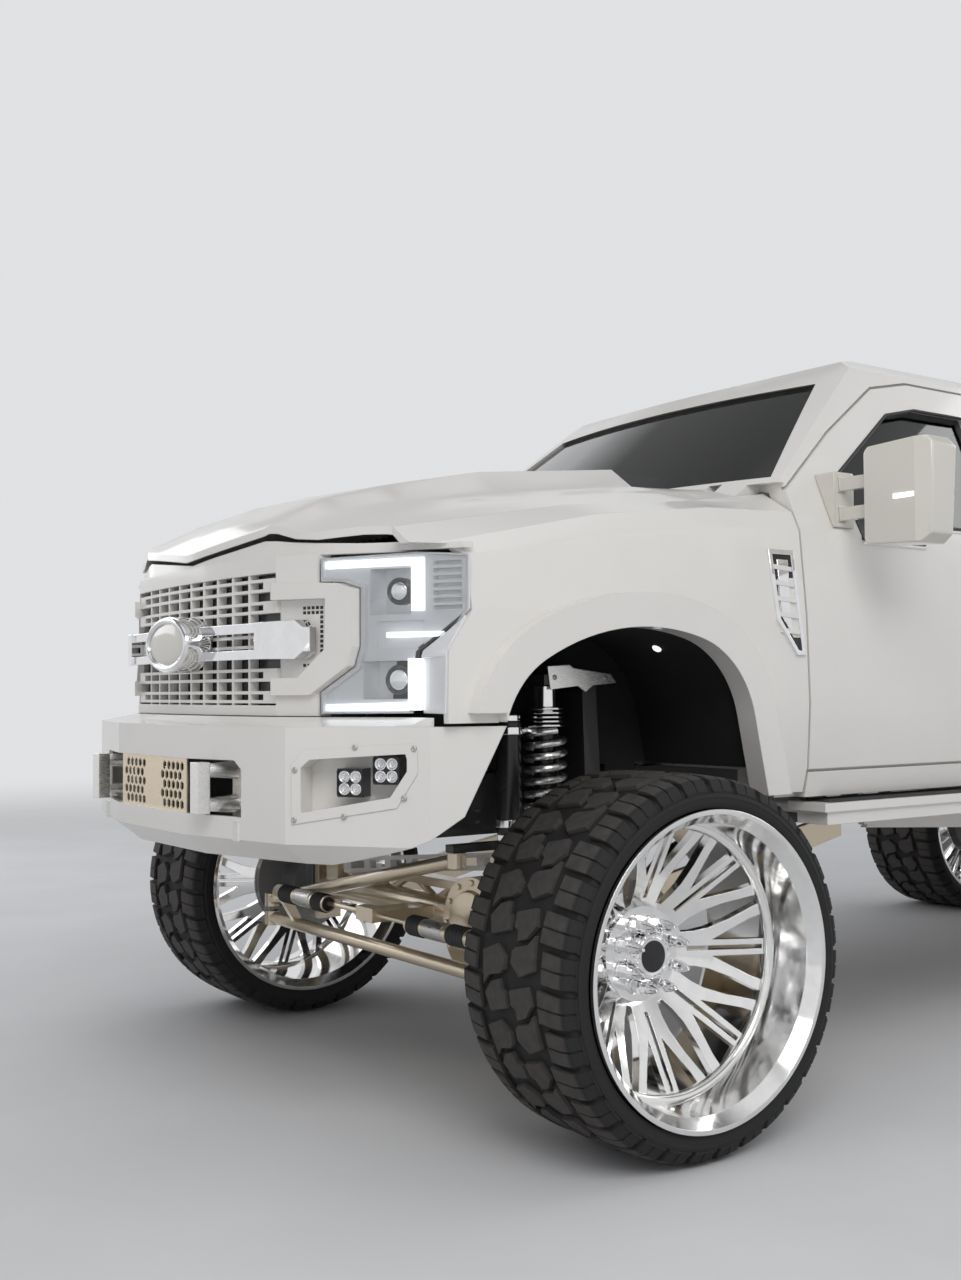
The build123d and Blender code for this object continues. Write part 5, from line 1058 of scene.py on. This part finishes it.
def rear_underbody():
    tubes, rods, clamps, bolts = Shape(), Shape(), Shape(), Shape()
    for s in (-1, 1):
        low, high = (at(s * x, y, z) for x, y, z in (DAMPER_FOOT, DAMPER_HEAD))
        run = high - low
        tubes.tube([low, low + run * 0.55], 0.034, 20)
        rods.tube([low + run * 0.54, high], 0.014, 14)
        for spot in (low, high):
            rods.tube([spot - Vector((0.028, 0, 0)), spot + Vector((0.028, 0, 0))], 0.026, 16)
        rods.tube([low + Vector((0, -0.085, 0.025)), low], 0.016, 10)
        rods.tube([high, high + Vector((0, 0, 0.055))], 0.016, 10)
        for y in CLAMP_SHIFTS:
            clamps.tube([at(s * CLAMP_X + dx, REAR_AXLE + y, z) for dx, z in CLAMP_BEND], 0.0085, 10)
    tubes.piece("rear_damper_bodies", "truck", "gold_paint")
    rods.piece("rear_damper_rods", "truck", "bare_steel")
    clamps.piece("spring_clamps", "truck", "black_metal")
    for middle, way, radius in ((at(0.380, -0.1285, TYRE_R), (0, -1, 0), 0.132),
                                (Vector((0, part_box("rear_axle")[1].y, TYRE_R)), (0, 1, 0), 0.105)):
        place = facing(middle, way)
        for x, y in circle(radius, COVER_BOLTS):
            bolts.prism(circle(0.010, 6), -0.004, 0.006, beside(place, x, y, -0.001))
        bolts.lathe([(radius - 0.020, -0.002), (radius - 0.026, 0.010), (radius - 0.055, 0.016),
                     (0.001, 0.018)], place, 40)
    bolts.piece("axle_cover_bolts", "truck", "gold_paint", bevel=0.0008)


# lamps, badge, mirrors and small bright pieces in front

LAMP_OUT = (0.090, -0.160, 0)
# projectors: across, height, radius
PROJECTORS = [(0.792, 1.438, 0.031), (0.790, 1.214, 0.034)]
BADGE_FRONT, BADGE_Z, BADGE_POINTS = -0.920, 1.322, 64
BADGE_A, BADGE_B, RING_A, RING_B, RING_R = 0.126, 0.058, 0.137, 0.069, 0.0095
BADGE_CROWN = ((1.0, -0.001), (1.0, 0.0025), (0.90, 0.0045), (0.5, 0.0065), (0.02, 0.0070))
# filler beside the lamp: height, lamp's outer edge x and y, fender's edge x and y
LAMP_SIDE = [
    (1.1295, 0.8590, -0.6035, 0.984, -0.6185),
    (1.2680, 0.8590, -0.6035, 0.977, -0.6095),
    (1.2700, 0.8590, -0.6105, 0.977, -0.6090),
    (1.2860, 0.8635, -0.6080, 0.976, -0.6045),
    (1.3390, 0.9290, -0.5700, 0.972, -0.5690),
    (1.3720, 0.9600, -0.5525, 0.969, -0.5460),
]
STRIP_END_X, STRIP_END_Z = (0.829, 0.8585), (1.1375, 1.267)
ROCK_LIGHT = [(0.014, -0.004), (0.014, 0.004), (0.011, 0.007), (0.001, 0.008)]


def lamp_fittings():
    shroud, ball, rock = Shape(), Shape(), Shape()
    for s in (-1, 1):
        for x, z, radius in PROJECTORS:
            place = facing(at(s * x, lamp_face(x, 0.0215), z), (s * LAMP_OUT[0], *LAMP_OUT[1:]))
            shroud.lathe([(radius + 0.004, -0.020), (radius + 0.004, 0.005), (radius, 0.008),
                          (radius - 0.006, 0.002), (0.0005, 0.0012)], place, 40)
            ball.lathe([(radius - 0.006, 0.0022), (radius - 0.009, 0.0075), (radius * 0.45, 0.0110),
                        (0.0005, 0.0125)], place, 40)
        rock.lathe(ROCK_LIGHT, facing(at(s * 0.754, 0.278, 1.307), (0, -0.56, -0.83)), 24)
    shroud.piece("projector_shrouds", "truck", "dark_plastic")
    ball.piece("projector_lenses", "truck", "chrome_trim")
    rock.piece("rock_light", "truck", "lamp_light")
    for s, hand in SIDES:
        rows = []
        for z, x0, y0, x1, y1 in LAMP_SIDE:
            near, far = at(s * x0, y0, z), at(s * (x1 - 0.005), y1 - 0.002, z)
            back = Vector((0, 0.007, 0))
            rows.append([near, far, far + back, near + back])
        Shape().run(rows[::s]).piece("lamp_edge_" + hand, "truck", "lamp_housing", bevel=0.001)
        rows = []
        for x in STRIP_END_X:
            front = lamp_face(x, -0.0015)
            rows.append(section_x(s * x, front, front + 0.003, *STRIP_END_Z))
        Shape().run(rows[::s]).piece("lamp_strip_end_" + hand, "truck", "lamp_light", smooth=0)


def badge():
    face = facing(at(0, BADGE_FRONT, BADGE_Z), (0, -1, 0))
    n = BADGE_POINTS
    rows = [[(BADGE_A * x, BADGE_B * y, z) for x, y in circle(k, n)] for k, z in BADGE_CROWN]
    last = (len(rows) - 1) * n
    plate = Shape().add(rows, bands(len(rows), n) + [list(range(last, last + n))], face)
    plate.piece("badge_face", "truck", "mirror_case")
    path = [face @ Vector((RING_A * x, RING_B * y, 0.0015)) for x, y in circle(1, n)]
    Shape().tube(path, RING_R, 12, closed=True).piece("badge_ring", "truck", "chrome_trim")


MIRROR_EDGE, MIRROR_SEGMENTS, MIRROR_ANGLE = 0.016, 4, math.radians(35)
MIRROR_GLASS = [(1.106, 1.652), (1.130, 1.626), (1.292, 1.616), (1.314, 1.640), (1.326, 1.860),
                (1.306, 1.880), (1.136, 1.874), (1.110, 1.850)]
MIRROR_LAMP_X, MIRROR_LAMP_Z, LAMP_BEND = (1.215, 1.310), (1.728, 1.742), 1.288


def mirror_fittings():
    for s, hand in SIDES:
        body = "front_door_" + hand
        low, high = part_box("mirror_" + hand)
        glass_plate = Shape().run([[(s * x, high.y - depth, z) for x, z in MIRROR_GLASS]
                                   for depth in (0.0085, 0.0055)])
        glass_plate.piece("mirror_glass_" + hand, body, "chrome_trim", smooth=0)
        rows = []
        for x in spread(*MIRROR_LAMP_X, 8):
            y = low.y + 0.0025 + max(0.0, x - LAMP_BEND) * 0.5
            rows.append([Vector((s * x, y + dy, z)) for dy, z in rect(-0.003, MIRROR_LAMP_Z[0], 0.006,
                                                                      MIRROR_LAMP_Z[1])])
        lens = Shape().add(rows, bands(len(rows), 4))
        lens.piece("mirror_lamp_" + hand, body, "lamp_light")
        edge = NODES["mirror_" + hand].modifiers.new("edge", "BEVEL")
        edge.width = MIRROR_EDGE
        edge.segments = MIRROR_SEGMENTS
        edge.limit_method = "ANGLE"
        edge.angle_limit = MIRROR_ANGLE


# engine bay and running boards

ENGINE_TOP, ENGINE_FRONT = 1.620, -0.430
COVER_BOLT_Y = (-0.180, -0.060, 0.060, 0.180)
COVER_RIBS, COVER_RIB_HALF = 9, 0.007
# pulleys: across, height, radius
PULLEYS = ((0.0, 1.300, 0.090), (0.170, 1.440, 0.058), (-0.170, 1.440, 0.062), (0.120, 1.190, 0.045))
PIPE_R, CLAMP_R = 0.026, 0.0285
BOARD_TOP, BOARD_X, BOARD_Y = 0.852, (0.915, 1.035), (0.70, 2.70)
TREAD_LINES, TREAD_PITCH, TREAD_HALF = 6, 0.020, 0.003


def engine_fittings():
    cover, ribs, pipes, bright, tank = Shape(), Shape(), Shape(), Shape(), Shape()
    foot = ENGINE_TOP - 0.002
    cover.block((-0.205, 0.205), (-0.250, 0.250), (foot, ENGINE_TOP + 0.040))
    for s in (-1, 1):
        cover.block((s * 0.225, s * 0.295), (-0.235, 0.235), (foot, ENGINE_TOP + 0.022))
        for y in COVER_BOLT_Y:
            bright.lathe([(0.011, -0.002), (0.011, 0.008), (0.008, 0.012)],
                         stand(s * 0.260, y, ENGINE_TOP + 0.022), 6)
    for x in spread(-0.160, 0.160, COVER_RIBS - 1):
        ribs.block((x - COVER_RIB_HALF, x + COVER_RIB_HALF), (-0.225, 0.225),
                   (ENGINE_TOP + 0.038, ENGINE_TOP + 0.047))
    for x, z, radius in PULLEYS:
        bright.lathe([(radius, -0.003), (radius, 0.012), (radius - 0.006, 0.016), (radius - 0.006, 0.026),
                      (radius, 0.030), (radius, 0.040), (radius * 0.4, 0.040), (radius * 0.35, 0.048)],
                     facing(at(x, ENGINE_FRONT, z), (0, -1, 0)), 40)
    for s, z in ((1, 1.430), (-1, 1.400)):
        bend = [at(s * x, y, height) for x, y, height in
                ((0.180, -0.425, 1.560), (0.190, -0.455, 1.565), (0.230, -0.490, 1.550),
                 (0.300, -0.540, z + 0.04), (0.350, -0.590, z), (0.355, -0.624, z - 0.005))]
        pipes.tube(bend, PIPE_R, 18)
        bright.tube(bend[4:], CLAMP_R, 18)
    cover.block((0.560, 0.790), (-0.110, 0.090), (1.372, 1.560))
    ribs.block((0.556, 0.794), (-0.114, 0.094), (1.556, 1.572))
    for y in (-0.070, 0.050):
        bright.lathe([(0.011, -0.002), (0.010, 0.018)], stand(0.600, y, 1.572), 20)
    tank.block((-0.800, -0.570), (-0.120, 0.110), (1.372, 1.535))
    ribs.lathe([(0.030, -0.002), (0.030, 0.020), (0.026, 0.024)], stand(-0.640, -0.060, 1.535), 24)
    cover.piece("engine_cover", "truck", "black_trim", bevel=0.008)
    ribs.piece("engine_cover_ribs", "truck", "dark_plastic", bevel=0.001)
    pipes.piece("coolant_pipes", "truck", "black_metal")
    bright.piece("engine_pulleys", "truck", "bare_steel", bevel=0.0006)
    tank.piece("coolant_tank", "truck", "mirror_case", bevel=0.014)


def board_treads():
    treads = Shape()
    for s in (-1, 1):
        treads.block([s * x for x in BOARD_X], BOARD_Y, (BOARD_TOP - 0.0005, BOARD_TOP + 0.003))
        for i in range(TREAD_LINES):
            x = s * (0.925 + i * TREAD_PITCH)
            treads.block((x - TREAD_HALF, x + TREAD_HALF), (BOARD_Y[0] + 0.02, BOARD_Y[1] - 0.02),
                         (BOARD_TOP + 0.002, BOARD_TOP + 0.0055))
    treads.piece("running_board_treads", "truck", "black_trim")


# camera, floor and lights

CAMERA_AT = Vector((3.795, -4.695, 1.1861))
CAMERA_LENS, CAMERA_SENSOR = 39.37, 36
CAMERA_AZIMUTH = math.radians(54.737)
CAMERA_RISE = math.radians(2.062)
CAMERA_ROLL = math.radians(-0.366)
WORLD_LEVEL = 0.66
BACKDROP = (0.75, 0.755, 0.765)
FLOOR_GREY = (0.72, 0.72, 0.72)
FLOOR_FADE = (5.0, 16.0)
FLOOR_REACH = 40
# world by height, 0 straight down and 1 straight up: colour of its light, share of the backdrop's colour seen
LIGHT_STOPS = [(0.0, (0.25, 0.25, 0.25)), (0.49, (0.42, 0.42, 0.43)), (0.54, (0.62, 0.63, 0.66)),
               (1.0, (0.80, 0.82, 0.86))]
SHOWN_STOPS = [(0.0, 0.5), (0.49, 1.0), (0.74, 1.0), (0.80, 0.30), (0.90, 0.30), (0.97, 1.0)]


def set_camera():
    data = bpy.data.cameras.new("camera")
    data.lens = CAMERA_LENS
    data.sensor_width = CAMERA_SENSOR
    camera = bpy.data.objects.new("camera", data)
    bpy.context.scene.collection.objects.link(camera)
    ahead = Vector((-math.sin(CAMERA_AZIMUTH) * math.cos(CAMERA_RISE),
                    math.cos(CAMERA_AZIMUTH) * math.cos(CAMERA_RISE), math.sin(CAMERA_RISE)))
    level = ahead.cross(Vector((0, 0, 1))).normalized()
    upright = level.cross(ahead)
    right = level * math.cos(CAMERA_ROLL) + upright * math.sin(CAMERA_ROLL)
    up = upright * math.cos(CAMERA_ROLL) - level * math.sin(CAMERA_ROLL)
    turn = Matrix((right, up, -ahead)).transposed().to_4x4()
    camera.matrix_world = Matrix.Translation(CAMERA_AT) @ turn
    bpy.context.scene.camera = camera


def area_light(name, place, aim, size, power):
    data = bpy.data.lights.new(name, "AREA")
    data.shape = "RECTANGLE"
    data.size, data.size_y = size
    data.energy = power
    lamp = bpy.data.objects.new(name, data)
    bpy.context.scene.collection.objects.link(lamp)
    lamp.matrix_world = facing(place, Vector(place) - Vector(aim))


def seen_directly(tree):
    """1 on rays that show the surroundings: straight to the camera, or by way of metal or glass."""
    paths = tree.nodes.new("ShaderNodeLightPath")
    total = paths.outputs["Is Camera Ray"]
    for name in ("Is Glossy Ray", "Is Transmission Ray"):
        total = add_node(tree, "ShaderNodeMath", {0: total, 1: paths.outputs[name]},
                         operation="MAXIMUM").outputs[0]
    return total


def set_world():
    world = bpy.data.worlds.new("studio")
    bpy.context.scene.world = world
    world.use_nodes = True
    tree = world.node_tree
    place = tree.nodes.new("ShaderNodeTexCoord")
    parts = add_node(tree, "ShaderNodeSeparateXYZ", {"Vector": place.outputs["Generated"]})
    rise = add_node(tree, "ShaderNodeMapRange", {"From Min": -1, "Value": parts.outputs["Z"]})
    height = rise.outputs["Result"]
    pale = tuple(c / WORLD_LEVEL for c in BACKDROP)
    shown = [(stop, tuple(c * share for c in pale)) for stop, share in SHOWN_STOPS]
    mix = add_node(tree, "ShaderNodeMix", {}, data_type="RGBA")
    put(tree, mix, {"A": ramp(tree, height, LIGHT_STOPS), "B": ramp(tree, height, shown),
                    "Factor": seen_directly(tree)})
    put(tree, tree.nodes["Background"], {"Color": mix.outputs["Result"], "Strength": WORLD_LEVEL})


def set_floor():
    mesh = bpy.data.meshes.new("floor")
    corners = rect(-FLOOR_REACH, -FLOOR_REACH, FLOOR_REACH, FLOOR_REACH)
    mesh.from_pydata([(x, y, 0) for x, y in corners], [], [(0, 1, 2, 3)])
    floor = bpy.data.objects.new("floor", mesh)
    bpy.context.scene.collection.objects.link(floor)
    made, tree, shader = new_material("floor", FLOOR_GREY, 0, 1.0)
    vary(tree, shader, FLOOR_GREY, 0.03, 1.5)
    put(tree, shader, {"Specular IOR Level": 0.0})
    reach = add_node(tree, "ShaderNodeVectorMath", {0: object_place(tree)}, operation="LENGTH")
    near, far = FLOOR_FADE
    fade = add_node(tree, "ShaderNodeMapRange", {"From Min": near, "From Max": far,
                                                 "Value": reach.outputs["Value"]},
                    interpolation_type="SMOOTHSTEP")
    seen = add_node(tree, "ShaderNodeMath", {0: fade.outputs["Result"], 1: seen_directly(tree)},
                    operation="MULTIPLY")
    glow_far = add_node(tree, "ShaderNodeEmission", {"Color": (*BACKDROP, 1)})
    both = add_node(tree, "ShaderNodeMixShader", {"Fac": seen.outputs["Value"], 1: shader.outputs["BSDF"],
                                                  2: glow_far.outputs["Emission"]})
    put(tree, tree.nodes["Material Output"], {"Surface": both.outputs["Shader"]})
    mesh.materials.append(made)


for wheel in WHEELS:
    tyre(wheel)
    wheel_fittings(wheel)
    brakes(wheel)
smooth_panels()
header()
bumper_top()
tower_plates()
grille_mesh()
bumper_fittings()
vents()
doors()
coilover_units()
steering_boots()
seats()
dashboard_fittings()
bed_fittings()
gate_fittings()
rear_fittings()
rear_underbody()
lamp_fittings()
badge()
engine_fittings()
mirror_fittings()
board_treads()
set_camera()
set_world()
set_floor()
area_light("key", (6, -5, 6), (0, 0, 1), (5, 4), 230)
area_light("fill", (-7, -4, 4), (0, -1, 1), (5, 4), 90)
area_light("rim", (2, 9, 6), (0, 0, 1), (6, 4), 150)
bpy.context.scene.view_settings.view_transform = "Standard"
